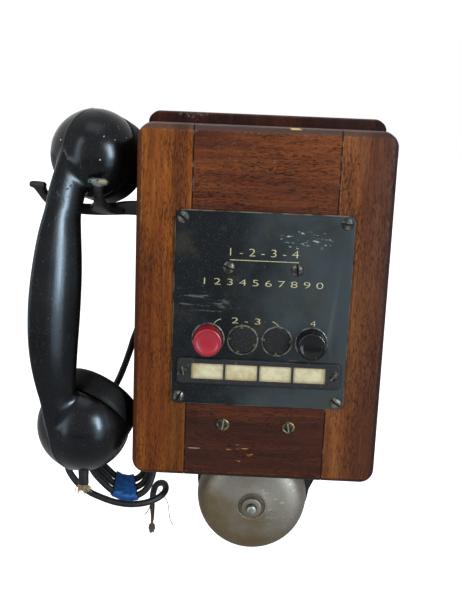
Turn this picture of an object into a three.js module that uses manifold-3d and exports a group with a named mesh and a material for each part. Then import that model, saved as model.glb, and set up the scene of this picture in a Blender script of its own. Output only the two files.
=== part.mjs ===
// A wooden wall telephone: a mahogany case on a backboard, a metal button plate, a single gong
// under the case, and a handset that hangs by its ear end from a forked switch hook.
// Millimetres. X is right, Y points into the wall, Z is up. The origin is the middle of the
// backboard's back face, so the whole telephone lies at Y <= 0.
import * as THREE from 'three';
import { mergeVertices } from 'three/addons/utils/BufferGeometryUtils.js';
import Module from 'manifold-3d';

// ---------------------------------------------------------------- driving dimensions
const GAP = 0.3; // clearance between turned, drilled or cut pieces

// front panel
const PANEL_W = 159;
const PANEL_H = 228.7;
const PANEL_T = 12;
const PANEL_R = 9;
const PANEL_BEVEL = 3.6;
const JOINT_X = 45; // joint between the stiles and the centre plank
const TONGUE_LONG = 3.2; // loose length of the plank's tongues
const TONGUE_THICK = 4;

// case box, set back behind the front all round
const SIDE_SETBACK = 7.5;
const TOP_SETBACK = 5.35;
const FOOT_SETBACK = 7.35;
const CASE_W = PANEL_W - 2 * SIDE_SETBACK;
const CASE_TOP = PANEL_H / 2 - TOP_SETBACK;
const CASE_BOTTOM = -PANEL_H / 2 + FOOT_SETBACK;
const CASE_DEPTH = 62;
const WALL_T = 9;

// backboard
const BOARD_WIDER = 0.5; // how far it shows past the front at each side
const BOARD_TALLER = 1.15;
const BOARD_W = PANEL_W + 2 * BOARD_WIDER;
const BOARD_T = 12;
const BOARD_TOP = PANEL_H / 2 + BOARD_TALLER;
const BOARD_FOOT = -BOARD_TOP;
const BOARD_R = 7;
const TONGUE_X = 7; // middle of the tongue that carries the bell
const TONGUE_HALF = 34; // half width near the foot of the tongue
const TONGUE_SHOULDER = 52; // half width where the tongue leaves the board
const TONGUE_LENGTH = 68.5;
const TONGUE_END = BOARD_FOOT - TONGUE_LENGTH;

// button plate
const PLATE_X = 0.7;
const PLATE_W = 111;
const PLATE_H = 126;
const PLATE_T = 2;
const PLATE_R = 4;
const CORNER_SCREW_X = 50.5;
const CORNER_SCREW_Z = 58.2;
const MID_SCREW_X = 21.4;
const MID_SCREW_Z = 27.8;
const SCREW_HEAD_R = 3.85;
const SCREW_HEAD_H = 1.9;
const SCREW_SHANK_R = 1.6;
const SCREW_LONG = 10; // from under the head

// buttons
const BUTTON_Z = -19;
const BUTTON_PITCH = 21.8;
const BUTTON_R = 9.1;
const BUTTON_PROUD = 10; // cap face above the plate
const BUTTON_TRAVEL = 4;
const COLLAR_R = 9.9; // collar behind the plate that keeps a button in
const COLLAR_T = 1.5;
const STEM_R = 3;
const STEM_END = 16; // end of the stem behind the plate's back
const BLANK_R = 8.6;
const RIM_W = 1.1; // width of the raised rim round each button hole
const RIM_H = 0.5;
const FRAME_H = 42; // button frame behind the plank
const FRAME_T = 1.6;
const SPRING_R = 4.9;
const SPRING_WIRE = 0.45;
const CONTACT_T = 0.6;
const CONTACT_BLOCK = 8;

// label strip
const LABEL_Z = -40.3;
const LABEL_W = 104;
const LABEL_H = 17;
const LABEL_T = 2.2;
const LABEL_R = 3;
const WINDOW_W = 20.3;
const WINDOW_H = 10.5;
const WINDOW_PITCH = 21.7;
const CARD_T = 0.7;
const LABEL_SCREW_X = 47.9;
const LABEL_SCREW_R = 2.6;

// cup washers on the plank
const CUP_X = 21.25;
const CUP_Z = -77.3;
const CUP_R = 4.4;
const CUP_H = 1.2;

// bell
const BELL_X = 1;
const BELL_BELOW = 34.1; // gong's axis below the board's foot
const BELL_Z = BOARD_FOOT - BELL_BELOW;
const GONG_R = 38.7;
const GONG_FRONT = -54;
const GONG_DEEP = 21;
const GONG_WALL = 1.6;
const RECESS_R = 9.2;
const BASE_HALF = 40.2;
const BASE_DEEP = 18;
const BASE_WALL = 2;
const BASE_SHIFT = 1.1; // the bell base sits this far right of the gong
const BASE_RAISED = 7.6; // centre of the base's round foot above the gong's axis
const BASE_ROUND_Z = BELL_Z + BASE_RAISED;
const POST_R = 5;
const STUD_R = 3.2;
const STUD_END = -61;
const NUT_R = 7;
const NUT_H = 4;
const HAMMER_R = 4;
const HAMMER_X = 29.6; // ball centre from the gong's axis
const HAMMER_Y = -41;
const HAMMER_PIVOT_Z = 25.6; // pivot above the ball
const COIL_R = 7;
const COIL_LONG = 26;

// switch hook
const HOOK_Y = -56;
const HOOK_T = 6;
const HOOK_PIN_R = 2.2;
const HOOK_PIN_IN = 18; // pivot in from the case's outer face
const ARM_HALF = 5; // half height of the arm where it passes the case side
const TAIL_LONG = 20.5; // arm's tail past the pivot
const SHELF_DROP = 22; // spring's shelf below the pivot
const BRACKET_HALF = 9;
const BRACKET_UP = 13;
const BRACKET_T = 1.6;
const CHEEK_T = 1.8;
const CHEEK_HALF = 8;
const CHEEK_PAST = 5; // cheeks run this far past the pivot
const SHELF_T = 2;
const SHELF_LONG = 41;
const HOOK_SPRING_R = 2.6;
const HOOK_SPRING_WIRE = 0.4;
const HOOK_SPRING_IN = 8; // spring's middle past the pivot
const LEAF_LONG = 16.5;
const LEAF_T = 0.5;
const LEAF_LOW = 5.8; // leaf's top below the pivot
const HOOK_RISE = 3; // room in the slot for the lift of the arm
const FORK_HALF = 28; // middle of each prong from the middle of the fork
const FORK_STRAP = 10;
const FORK_T = 4.4;
const FORK_REACH = 31; // prong tips in front of the ear bowl's centre
const FORK_DROP = 2; // top of the web below the foot of the ear bowl
const FORK_UP = 17; // rise of the prong tips

// handset
const HANDSET_OUT = 30.9; // ear bowl's centre out from the front's edge
const EAR_BELOW = 24.85; // and below the front's top
const EAR_Y = -46.9;
const EAR = [-PANEL_W / 2 - HANDSET_OUT, EAR_Y, PANEL_H / 2 - EAR_BELOW];
const HANDSET_TURN = -36.2; // degrees about the vertical
const HANDSET_LEAN = -3.5;
const HANDSET_ROLL = -3.8;
const EAR_R = 29.2;
const EAR_TILT = 17.7; // ear cap turned down towards the mouth
const EAR_SEAM = 5;
const MOUTH_R = 30.8;
const MOUTH_W = -10.6; // mouth bowl's centre from the ear bowl's
const MOUTH_U = -178.2;
const MOUTH_TILT = 43;
const MOUTH_SEAM = 10;
const CAP_H = 17;
const CAP_FACE_IN = 1; // how much narrower the caps are at their faces
const BOWL_WALL = 3.4;
const HANDLE_HALF = 15.5;
const HANDLE_RIDGE = 17; // from the handle's line out to its ridge
const HANDLE_BASE = 12.5; // and in to its palm side
const HANDLE_TAPER = 0.22;
const SLEEVE_R = 3.6;
const SLEEVE_LONG = 13;

// loose cord
const CORD_R = 2.3;
const CORD_Y = -24;
const CORD_Z = -26;
const GROMMET_R = 7;
const GROMMET_LIP = 2.5;
const COIL_X = -97.4; // middle of the gathered turns
const COIL_Y = -29.6;
const COIL_Z = -114.8;
const COIL_WIDE = 24.1; // half width and half height of the middle turn
const COIL_TALL = 30.6;
const COIL_SKEW = 7; // a turn's top lies this far left of the middle
const COIL_RISE = 6; // its left side this far above it
const COIL_LEAN = 11.8; // and its foot this far in front of it
const COIL_PITCH = 5.5; // each turn lies this far in front of the last
const COIL_GROWTH = 0.1; // and is larger by this share
const COIL_ROWS = 3; // strands side by side in the coil
const TAPE_T = 0.7;
const TAPE_LEFT = -95.5;
const TAPE_RIGHT = -81.5;

// fittings inside the case
const INDUCTION_X = -1;
const INDUCTION_Z = 13;
const INDUCTION_LONG = 58;
const INDUCTION_SIZE = 26;
const INDUCTION_FLANGE = 2.5;
const WINDING_R = 10;
const CONDENSER_X = 1;
const CONDENSER_Z = -35;
const CONDENSER_W = 46;
const CONDENSER_H = 34;
const CONDENSER_T = 22;
const TERMINAL_W = 84;
const TERMINAL_H = 16;
const TERMINAL_T = 14;
const TERMINAL_UP = 25; // block's middle above the case's foot
const WELL_W = 9.5;
const WELL_H = 10;
const WELL_DEEP = 6;
const WELL_PITCH = 13.2;

// ---------------------------------------------------------------- derived places
const boardFront = -BOARD_T;
const panelBack = boardFront - CASE_DEPTH;
const panelFront = panelBack - PANEL_T;
const plateFront = panelFront - PLATE_T;
const caseHalf = CASE_W / 2;
const hookX = -caseHalf + HOOK_PIN_IN;
const hookZ = EAR[2] - EAR_R - FORK_DROP - 1.3; // the arm meets the fork under the ear bowl
const hookTail = hookX + TAIL_LONG;
const redX = PLATE_X - 1.5 * BUTTON_PITCH;
const blankX = [PLATE_X - 0.5 * BUTTON_PITCH, PLATE_X + 0.5 * BUTTON_PITCH];
const blackX = PLATE_X + 1.5 * BUTTON_PITCH;
const holeR = BUTTON_R + GAP;

// ---------------------------------------------------------------- solids
const wasm = await Module();
wasm.setup();

function solidOf(geometry) {
  const bare = geometry.clone();
  bare.deleteAttribute('normal');
  bare.deleteAttribute('uv');
  const merged = mergeVertices(bare, 1e-4);
  return new wasm.Manifold(new wasm.Mesh({
    numProp: 3,
    vertProperties: new Float32Array(merged.attributes.position.array),
    triVerts: new Uint32Array(merged.index.array),
  }));
}

function geometryOf(solid) {
  const mesh = solid.getMesh();
  const geometry = new THREE.BufferGeometry();
  geometry.setAttribute('position', new THREE.BufferAttribute(mesh.vertProperties, 3));
  geometry.setIndex(new THREE.BufferAttribute(mesh.triVerts, 1));
  geometry.computeVertexNormals();
  return geometry;
}

function cut(body, ...tools) {
  let solid = solidOf(body);
  for (const tool of tools) solid = solid.subtract(solidOf(tool));
  return geometryOf(solid);
}

function join(body, ...others) {
  let solid = solidOf(body);
  for (const other of others) solid = solid.add(solidOf(other));
  return geometryOf(solid);
}

function keep(body, mask) {
  return geometryOf(solidOf(body).intersect(solidOf(mask)));
}

// A box from its low and high sides along X, Y and Z.
function box(x0, x1, y0, y1, z0, z1) {
  const geometry = new THREE.BoxGeometry(x1 - x0, y1 - y0, z1 - z0);
  return geometry.translate((x0 + x1) / 2, (y0 + y1) / 2, (z0 + z1) / 2);
}

// A turned piece about the Y axis from [radius, y] points, y rising, closed on the axis or on itself.
function turned(profile, segments = 20) {
  return new THREE.LatheGeometry(profile.map(([r, y]) => new THREE.Vector2(r, y)), segments);
}

// A round bar about the Y axis between two depths.
function bar(radius, y0, y1, segments = 14) {
  return turned([[0, y0], [radius, y0], [radius, y1], [0, y1]], segments);
}

// An outline drawn in X and Z, with its back face at a depth and a thickness towards the front.
function slab(shape, back, thickness, bevel = 0, curveSegments = 5, bevelSegments = 1) {
  const geometry = new THREE.ExtrudeGeometry(shape, {
    depth: thickness - bevel,
    bevelEnabled: bevel > 0,
    bevelThickness: bevel,
    bevelSize: bevel,
    bevelOffset: -bevel,
    bevelSegments,
    curveSegments,
  });
  return geometry.rotateX(Math.PI / 2).translate(0, back, 0);
}

function roundedRect(cx, cz, width, height, radius) {
  const x = width / 2;
  const z = height / 2;
  const shape = new THREE.Shape();
  shape.absarc(cx + x - radius, cz + z - radius, radius, 0, Math.PI / 2);
  shape.absarc(cx - x + radius, cz + z - radius, radius, Math.PI / 2, Math.PI);
  shape.absarc(cx - x + radius, cz - z + radius, radius, Math.PI, 1.5 * Math.PI);
  shape.absarc(cx + x - radius, cz - z + radius, radius, 1.5 * Math.PI, 2 * Math.PI);
  return shape;
}

// A coil spring about the Y axis from one depth to another.
function coilSpring(radius, wire, y0, y1, turns) {
  const points = [];
  const steps = turns * 8;
  for (let i = 0; i <= steps; i++) {
    const a = (i / steps) * turns * 2 * Math.PI;
    const y = y0 + wire + (y1 - y0 - 2 * wire) * (i / steps);
    points.push(new THREE.Vector3(radius * Math.cos(a), y, radius * Math.sin(a)));
  }
  return tube(points, wire, steps, 4);
}

function circle(radius, sides) {
  const shape = new THREE.Shape();
  for (let i = 0; i < sides; i++) {
    const a = (i / sides) * 2 * Math.PI;
    if (i === 0) shape.moveTo(radius, 0);
    else shape.lineTo(radius * Math.cos(a), radius * Math.sin(a));
  }
  shape.closePath();
  return shape;
}

function tube(points, radius, steps, sides) {
  const extrudePath = new THREE.CatmullRomCurve3(points, false, 'centripetal');
  return new THREE.ExtrudeGeometry(circle(radius, sides), { extrudePath, steps });
}

// ---------------------------------------------------------------- materials
function finish(color, roughness, metalness = 0) {
  return { color, roughness, metalness };
}
const MAHOGANY = finish(0x6b2f17, 0.5);
const GOLD_MAHOGANY = finish(0x9a4f22, 0.5);
const DARK_WOOD = finish(0x3c1a10, 0.55);
const GUNMETAL = finish(0x2c3034, 0.45, 0.6);
const STEEL = finish(0x8b8f90, 0.4, 0.9);
const BRASS = finish(0x9c7a3a, 0.4, 0.9);
const NICKEL = finish(0x8f8a76, 0.35, 0.9);
const BAKELITE = finish(0x14110f, 0.25);
const BLACK_IRON = finish(0x17181a, 0.5, 0.4);
const CRIMSON = finish(0xc01030, 0.3);
const IVORY = finish(0xe2d6b0, 0.6);
const FIBRE = finish(0x5a3a24, 0.7);
const CORD_BLACK = finish(0x111214, 0.5);
const TAPE_BLUE = finish(0x2c6fb5, 0.55);
const THREAD = finish(0xb89a6a, 0.9);

const phone = new THREE.Group();

function piece(name, geometry, look, parent = phone) {
  const mesh = new THREE.Mesh(geometry, new THREE.MeshStandardMaterial(look));
  mesh.name = name;
  parent.add(mesh);
  return mesh;
}

// ---------------------------------------------------------------- backboard
function backboard() {
  const x = BOARD_W / 2;
  const shape = new THREE.Shape();
  shape.absarc(x - BOARD_R, BOARD_TOP - BOARD_R, BOARD_R, 0, Math.PI / 2);
  shape.absarc(-x + BOARD_R, BOARD_TOP - BOARD_R, BOARD_R, Math.PI / 2, Math.PI);
  shape.absarc(-x + BOARD_R, BOARD_FOOT + BOARD_R, BOARD_R, Math.PI, 1.5 * Math.PI);
  const waist = (BOARD_FOOT + TONGUE_END) / 2;
  const round = 0.6 * TONGUE_HALF;
  shape.lineTo(TONGUE_X - TONGUE_SHOULDER, BOARD_FOOT);
  shape.bezierCurveTo(
    TONGUE_X - TONGUE_SHOULDER, BOARD_FOOT - 14,
    TONGUE_X - TONGUE_HALF, waist,
    TONGUE_X - TONGUE_HALF, TONGUE_END + round,
  );
  shape.absarc(TONGUE_X - TONGUE_HALF + round, TONGUE_END + round, round, Math.PI, 1.5 * Math.PI);
  shape.absarc(TONGUE_X + TONGUE_HALF - round, TONGUE_END + round, round, 1.5 * Math.PI, 2 * Math.PI);
  shape.bezierCurveTo(
    TONGUE_X + TONGUE_HALF, waist,
    TONGUE_X + TONGUE_SHOULDER, BOARD_FOOT - 14,
    TONGUE_X + TONGUE_SHOULDER, BOARD_FOOT,
  );
  shape.absarc(x - BOARD_R, BOARD_FOOT + BOARD_R, BOARD_R, 1.5 * Math.PI, 2 * Math.PI);
  piece('backboard', slab(shape, 0, BOARD_T), DARK_WOOD);
}

// ---------------------------------------------------------------- case
const armSlot = {
  y0: HOOK_Y - HOOK_T / 2 - 2 * GAP,
  y1: HOOK_Y + HOOK_T / 2 + 2 * GAP,
  z0: hookZ - ARM_HALF - 0.5,
  z1: hookZ + ARM_HALF + 1 + HOOK_RISE,
};

function caseBox() {
  const sideTop = CASE_TOP - WALL_T;
  const sideBottom = CASE_BOTTOM + WALL_T;
  const inner = caseHalf - WALL_T;
  piece('case_top', box(-caseHalf, caseHalf, panelBack, boardFront, sideTop, CASE_TOP), MAHOGANY);
  piece('case_bottom', box(-caseHalf, caseHalf, panelBack, boardFront, CASE_BOTTOM, sideBottom), MAHOGANY);
  piece('case_right_side', box(inner, caseHalf, panelBack, boardFront, sideBottom, sideTop), MAHOGANY);

  const side = box(-caseHalf, -inner, panelBack, boardFront, sideBottom, sideTop);
  const slot = box(-caseHalf - 1, -inner + 1, armSlot.y0, armSlot.y1, armSlot.z0, armSlot.z1);
  const hole = bar(CORD_R + GROMMET_LIP + GAP, -caseHalf - 1, -inner + 1);
  hole.rotateZ(-Math.PI / 2).translate(0, CORD_Y, CORD_Z);
  piece('case_left_side', cut(side, slot, hole), MAHOGANY);
}

// ---------------------------------------------------------------- front panel
function panelBoards() {
  const outline = roundedRect(0, 0, PANEL_W, PANEL_H, PANEL_R);
  const whole = slab(outline, panelBack, PANEL_T, PANEL_BEVEL, 5, 3);
  const x = PANEL_W / 2 + 1;
  const z = PANEL_H / 2 + 1;
  const edge = JOINT_X - GAP / 2;
  const mid = (panelBack + panelFront) / 2;
  const strip = TONGUE_THICK / 2;
  const front = panelFront - 1;

  // the plank with its tongues and the opening behind the buttons
  const plankMask = join(
    box(-edge, edge, front, panelBack, -z, z),
    box(-edge - TONGUE_LONG, edge + TONGUE_LONG, mid - strip, mid + strip, -z, z),
  );
  const opening = box(
    redX - COLLAR_R - GAP, blackX + COLLAR_R + GAP, front, panelBack + 1,
    BUTTON_Z - COLLAR_R - 2, BUTTON_Z + COLLAR_R + 2,
  );
  const pilots = [];
  for (const sx of [-1, 1]) {
    pilots.push(pilot(PLATE_X + sx * MID_SCREW_X, MID_SCREW_Z, plateFront));
    pilots.push(pilot(PLATE_X + sx * CUP_X, CUP_Z, panelFront));
  }
  piece('front_centre_panel', cut(keep(whole, plankMask), opening, ...pilots), MAHOGANY);

  // the stiles with their grooves
  for (const [name, s] of [['front_left_stile', -1], ['front_right_stile', 1]]) {
    const near = JOINT_X + GAP / 2;
    const mask = box(Math.min(s * near, s * x), Math.max(s * near, s * x), front, panelBack, -z, z);
    const far = edge + TONGUE_LONG + GAP;
    const groove = box(
      Math.min(s * near - s, s * far), Math.max(s * near - s, s * far),
      mid - strip - GAP, mid + strip + GAP, -z, z,
    );
    const holes = [-1, 1].map((sz) => pilot(PLATE_X + s * CORNER_SCREW_X, sz * CORNER_SCREW_Z, plateFront));
    piece(name, cut(keep(whole, mask), groove, ...holes), GOLD_MAHOGANY);
  }
}

// A pilot hole for a screw whose head sits at a depth.
function pilot(x, z, headY) {
  return bar(SCREW_SHANK_R + GAP, headY - 1, headY + SCREW_LONG + GAP, 14).translate(x, 0, z);
}

// A round-headed slotted screw, its head's underside at Y = 0.
function roundHeadScrew(headR, headH, shankR, long, slotTurn) {
  const dome = [];
  for (let i = 0; i <= 3; i++) {
    const a = (i / 3) * Math.PI / 2;
    dome.push([headR * Math.sin(a), -headH * Math.cos(a)]);
  }
  const body = turned([...dome, [headR, 0], [shankR, 0], [shankR, long], [0, long]].filter(
    (p, i, all) => i === 0 || p[0] !== all[i - 1][0] || Math.abs(p[1] - all[i - 1][1]) > 1e-9,
  ), 14);
  const slot = box(-headR - 1, headR + 1, -headH - 1, -headH * 0.45, -0.11 * headR, 0.11 * headR);
  return cut(body, slot.rotateY(THREE.MathUtils.degToRad(slotTurn)));
}

// ---------------------------------------------------------------- button plate
function buttonPlate() {
  const outline = roundedRect(PLATE_X, 0, PLATE_W, PLATE_H, PLATE_R);
  let body = slab(outline, panelFront, PLATE_T, 0.5);
  const rims = [];
  const tools = [];
  for (const [x, r] of [[redX, holeR], [blackX, holeR], [blankX[0], BLANK_R + GAP], [blankX[1], BLANK_R + GAP]]) {
    const raise = r === holeR ? RIM_H : 0.2;
    rims.push(bar(r + RIM_W, plateFront - raise, panelFront - 0.2, 24).translate(x, 0, BUTTON_Z));
    tools.push(bar(r, plateFront - 2, panelFront + 2, 24).translate(x, 0, BUTTON_Z));
  }
  for (const sx of [-1, 1]) {
    tools.push(pilot(PLATE_X + sx * MID_SCREW_X, MID_SCREW_Z, plateFront));
    tools.push(pilot(PLATE_X + sx * LABEL_SCREW_X, LABEL_Z, plateFront));
    for (const sz of [-1, 1]) {
      tools.push(pilot(PLATE_X + sx * CORNER_SCREW_X, sz * CORNER_SCREW_Z, plateFront));
    }
  }
  tools.push(box(-PLATE_W, PLATE_W, panelFront, panelFront + 5, -PLATE_H, PLATE_H));
  body = cut(join(body, ...rims), ...tools);
  piece('button_plate', body, GUNMETAL);

  const slots = [40, 5, 120, 35];
  let n = 0;
  for (const sz of [1, -1]) {
    for (const sx of [-1, 1]) {
      const screw = roundHeadScrew(SCREW_HEAD_R, SCREW_HEAD_H, SCREW_SHANK_R, SCREW_LONG, slots[n]);
      n += 1;
      piece(`plate_screw_${n}`, screw, GUNMETAL)
        .position.set(PLATE_X + sx * CORNER_SCREW_X, plateFront, sz * CORNER_SCREW_Z);
    }
  }
  for (const [i, sx] of [-1, 1].entries()) {
    const screw = roundHeadScrew(SCREW_HEAD_R, SCREW_HEAD_H, SCREW_SHANK_R, SCREW_LONG, 20 + 65 * i);
    piece(`plate_mid_screw_${i + 1}`, screw, GUNMETAL)
      .position.set(PLATE_X + sx * MID_SCREW_X, plateFront, MID_SCREW_Z);
  }
}

// ---------------------------------------------------------------- label strip
function labelStrip() {
  const pocket = CARD_T + GAP;
  const windowsW = 3 * WINDOW_PITCH + WINDOW_W;
  const tools = [box(
    PLATE_X - windowsW / 2 - 1.2, PLATE_X + windowsW / 2 + 1.2,
    plateFront - pocket, plateFront + 1, LABEL_Z - WINDOW_H / 2 - 1.2, LABEL_Z + WINDOW_H / 2 + 1.2,
  )];
  for (let i = 0; i < 4; i++) {
    const x = PLATE_X + (i - 1.5) * WINDOW_PITCH;
    tools.push(box(
      x - WINDOW_W / 2, x + WINDOW_W / 2, plateFront - LABEL_T - 1, plateFront + 1,
      LABEL_Z - WINDOW_H / 2, LABEL_Z + WINDOW_H / 2,
    ));
  }
  for (const sx of [-1, 1]) {
    tools.push(pilot(PLATE_X + sx * LABEL_SCREW_X, LABEL_Z, plateFront - LABEL_T));
  }
  tools.push(box(-PLATE_W, PLATE_W, plateFront, plateFront + 5, -PLATE_H, PLATE_H));
  const outline = roundedRect(PLATE_X, LABEL_Z, LABEL_W, LABEL_H, LABEL_R);
  piece('label_frame', cut(slab(outline, plateFront, LABEL_T, 0.6, 5), ...tools), BLACK_IRON);

  const cardW = windowsW / 2 + 0.9;
  const cardH = WINDOW_H / 2 + 0.9;
  piece('label_card', box(
    PLATE_X - cardW, PLATE_X + cardW, plateFront - CARD_T, plateFront, LABEL_Z - cardH, LABEL_Z + cardH,
  ), IVORY);

  for (const [i, sx] of [-1, 1].entries()) {
    const screw = roundHeadScrew(LABEL_SCREW_R, 1.1, SCREW_SHANK_R, LABEL_T + PLATE_T, 80 + 50 * i);
    piece(`label_screw_${i + 1}`, screw, GUNMETAL)
      .position.set(PLATE_X + sx * LABEL_SCREW_X, plateFront - LABEL_T, LABEL_Z);
  }
}

// ---------------------------------------------------------------- buttons
function buttons() {
  const face = plateFront - BUTTON_PROUD;
  const stemEnd = panelFront + STEM_END;
  const collarFront = panelFront + GAP;
  const profile = [
    [0, face + 1.1], [4.5, face + 0.9], [6.8, face + 0.3], [BUTTON_R - 1.3, face],
    [BUTTON_R - 0.4, face + 0.3], [BUTTON_R, face + 1.2], [BUTTON_R, collarFront],
    [COLLAR_R, collarFront], [COLLAR_R, collarFront + COLLAR_T], [STEM_R, collarFront + COLLAR_T],
    [STEM_R, stemEnd], [0, stemEnd],
  ];
  const frameX = [redX - COLLAR_R - 1, blackX + COLLAR_R + 1];
  const frameBack = panelBack + FRAME_T;
  const stemHoles = [redX, blackX].map((x) => (
    bar(STEM_R + GAP, panelBack - 1, frameBack + 1).translate(x, 0, BUTTON_Z)));
  piece('button_frame', cut(
    box(frameX[0], frameX[1], panelBack, frameBack, BUTTON_Z - FRAME_H / 2, BUTTON_Z + FRAME_H / 2),
    ...stemHoles,
  ), STEEL);

  const leafFront = stemEnd + BUTTON_TRAVEL + GAP;
  const blockTop = BUTTON_Z + FRAME_H / 2 - 2;
  piece('contact_block', box(
    redX - 4, blackX + 4, frameBack, leafFront, blockTop - CONTACT_BLOCK, blockTop,
  ), FIBRE);
  for (const [name, x, look] of [['red', redX, CRIMSON], ['black', blackX, BAKELITE]]) {
    const button = turned(profile, 24).translate(x, 0, BUTTON_Z);
    piece(`${name}_button`, button, look);
    const spring = coilSpring(SPRING_R, SPRING_WIRE, collarFront + COLLAR_T, panelBack, 4);
    piece(`${name}_return_spring`, spring.translate(x, 0, BUTTON_Z), STEEL);
    piece(`${name}_contact_leaf`, box(
      x - 2.5, x + 2.5, leafFront, leafFront + CONTACT_T, BUTTON_Z - 6, blockTop,
    ), BRASS);
  }

  // blank plugs in the two middle holes, notched at the edge
  for (const [i, x] of blankX.entries()) {
    const disc = turned([
      [0, plateFront - 0.3], [BLANK_R - 0.3, plateFront - 0.3], [BLANK_R, plateFront],
      [BLANK_R, panelFront], [COLLAR_R, panelFront], [COLLAR_R, panelFront + COLLAR_T],
      [0, panelFront + COLLAR_T],
    ], 24);
    const notches = [];
    for (let k = 0; k < 4; k++) {
      const notch = box(BLANK_R - 1, BLANK_R + 1, plateFront - 1, plateFront + 0.7, -0.6, 0.6);
      notches.push(notch.rotateY((k + 0.2 + 0.4 * i) * Math.PI / 2));
    }
    piece(`blank_plug_${i + 1}`, cut(disc, ...notches), BAKELITE).position.set(x, 0, BUTTON_Z);
  }
}

// ---------------------------------------------------------------- cup washers
function cupScrews() {
  const top = panelFront - CUP_H;
  const bore = SCREW_SHANK_R + 2 * GAP;
  for (const [i, sx] of [-1, 1].entries()) {
    const x = PLATE_X + sx * CUP_X;
    const cup = turned([
      [bore, panelFront - 0.2], [CUP_R - 1.3, top + 0.1], [CUP_R - 0.8, top],
      [CUP_R - 0.2, top + 0.5], [CUP_R, panelFront], [bore, panelFront], [bore, panelFront - 0.2],
    ]);
    piece(`cup_washer_${i + 1}`, cup, BRASS).position.set(x, 0, CUP_Z);
    const cone = CUP_R - 1.3 - GAP - 0.1;
    const body = turned([
      [0, top - 0.3], [cone * 0.7, top - 0.2], [cone, top + 0.05],
      [SCREW_SHANK_R, panelFront - 0.2], [SCREW_SHANK_R, panelFront + SCREW_LONG], [0, panelFront + SCREW_LONG],
    ], 20);
    const slot = box(-0.35, 0.35, top - 1, top + 0.3, -CUP_R, CUP_R);
    piece(`cup_screw_${i + 1}`, cut(body, slot.rotateY(0.2 - 0.3 * i)), GUNMETAL).position.set(x, 0, CUP_Z);
  }
}

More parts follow.
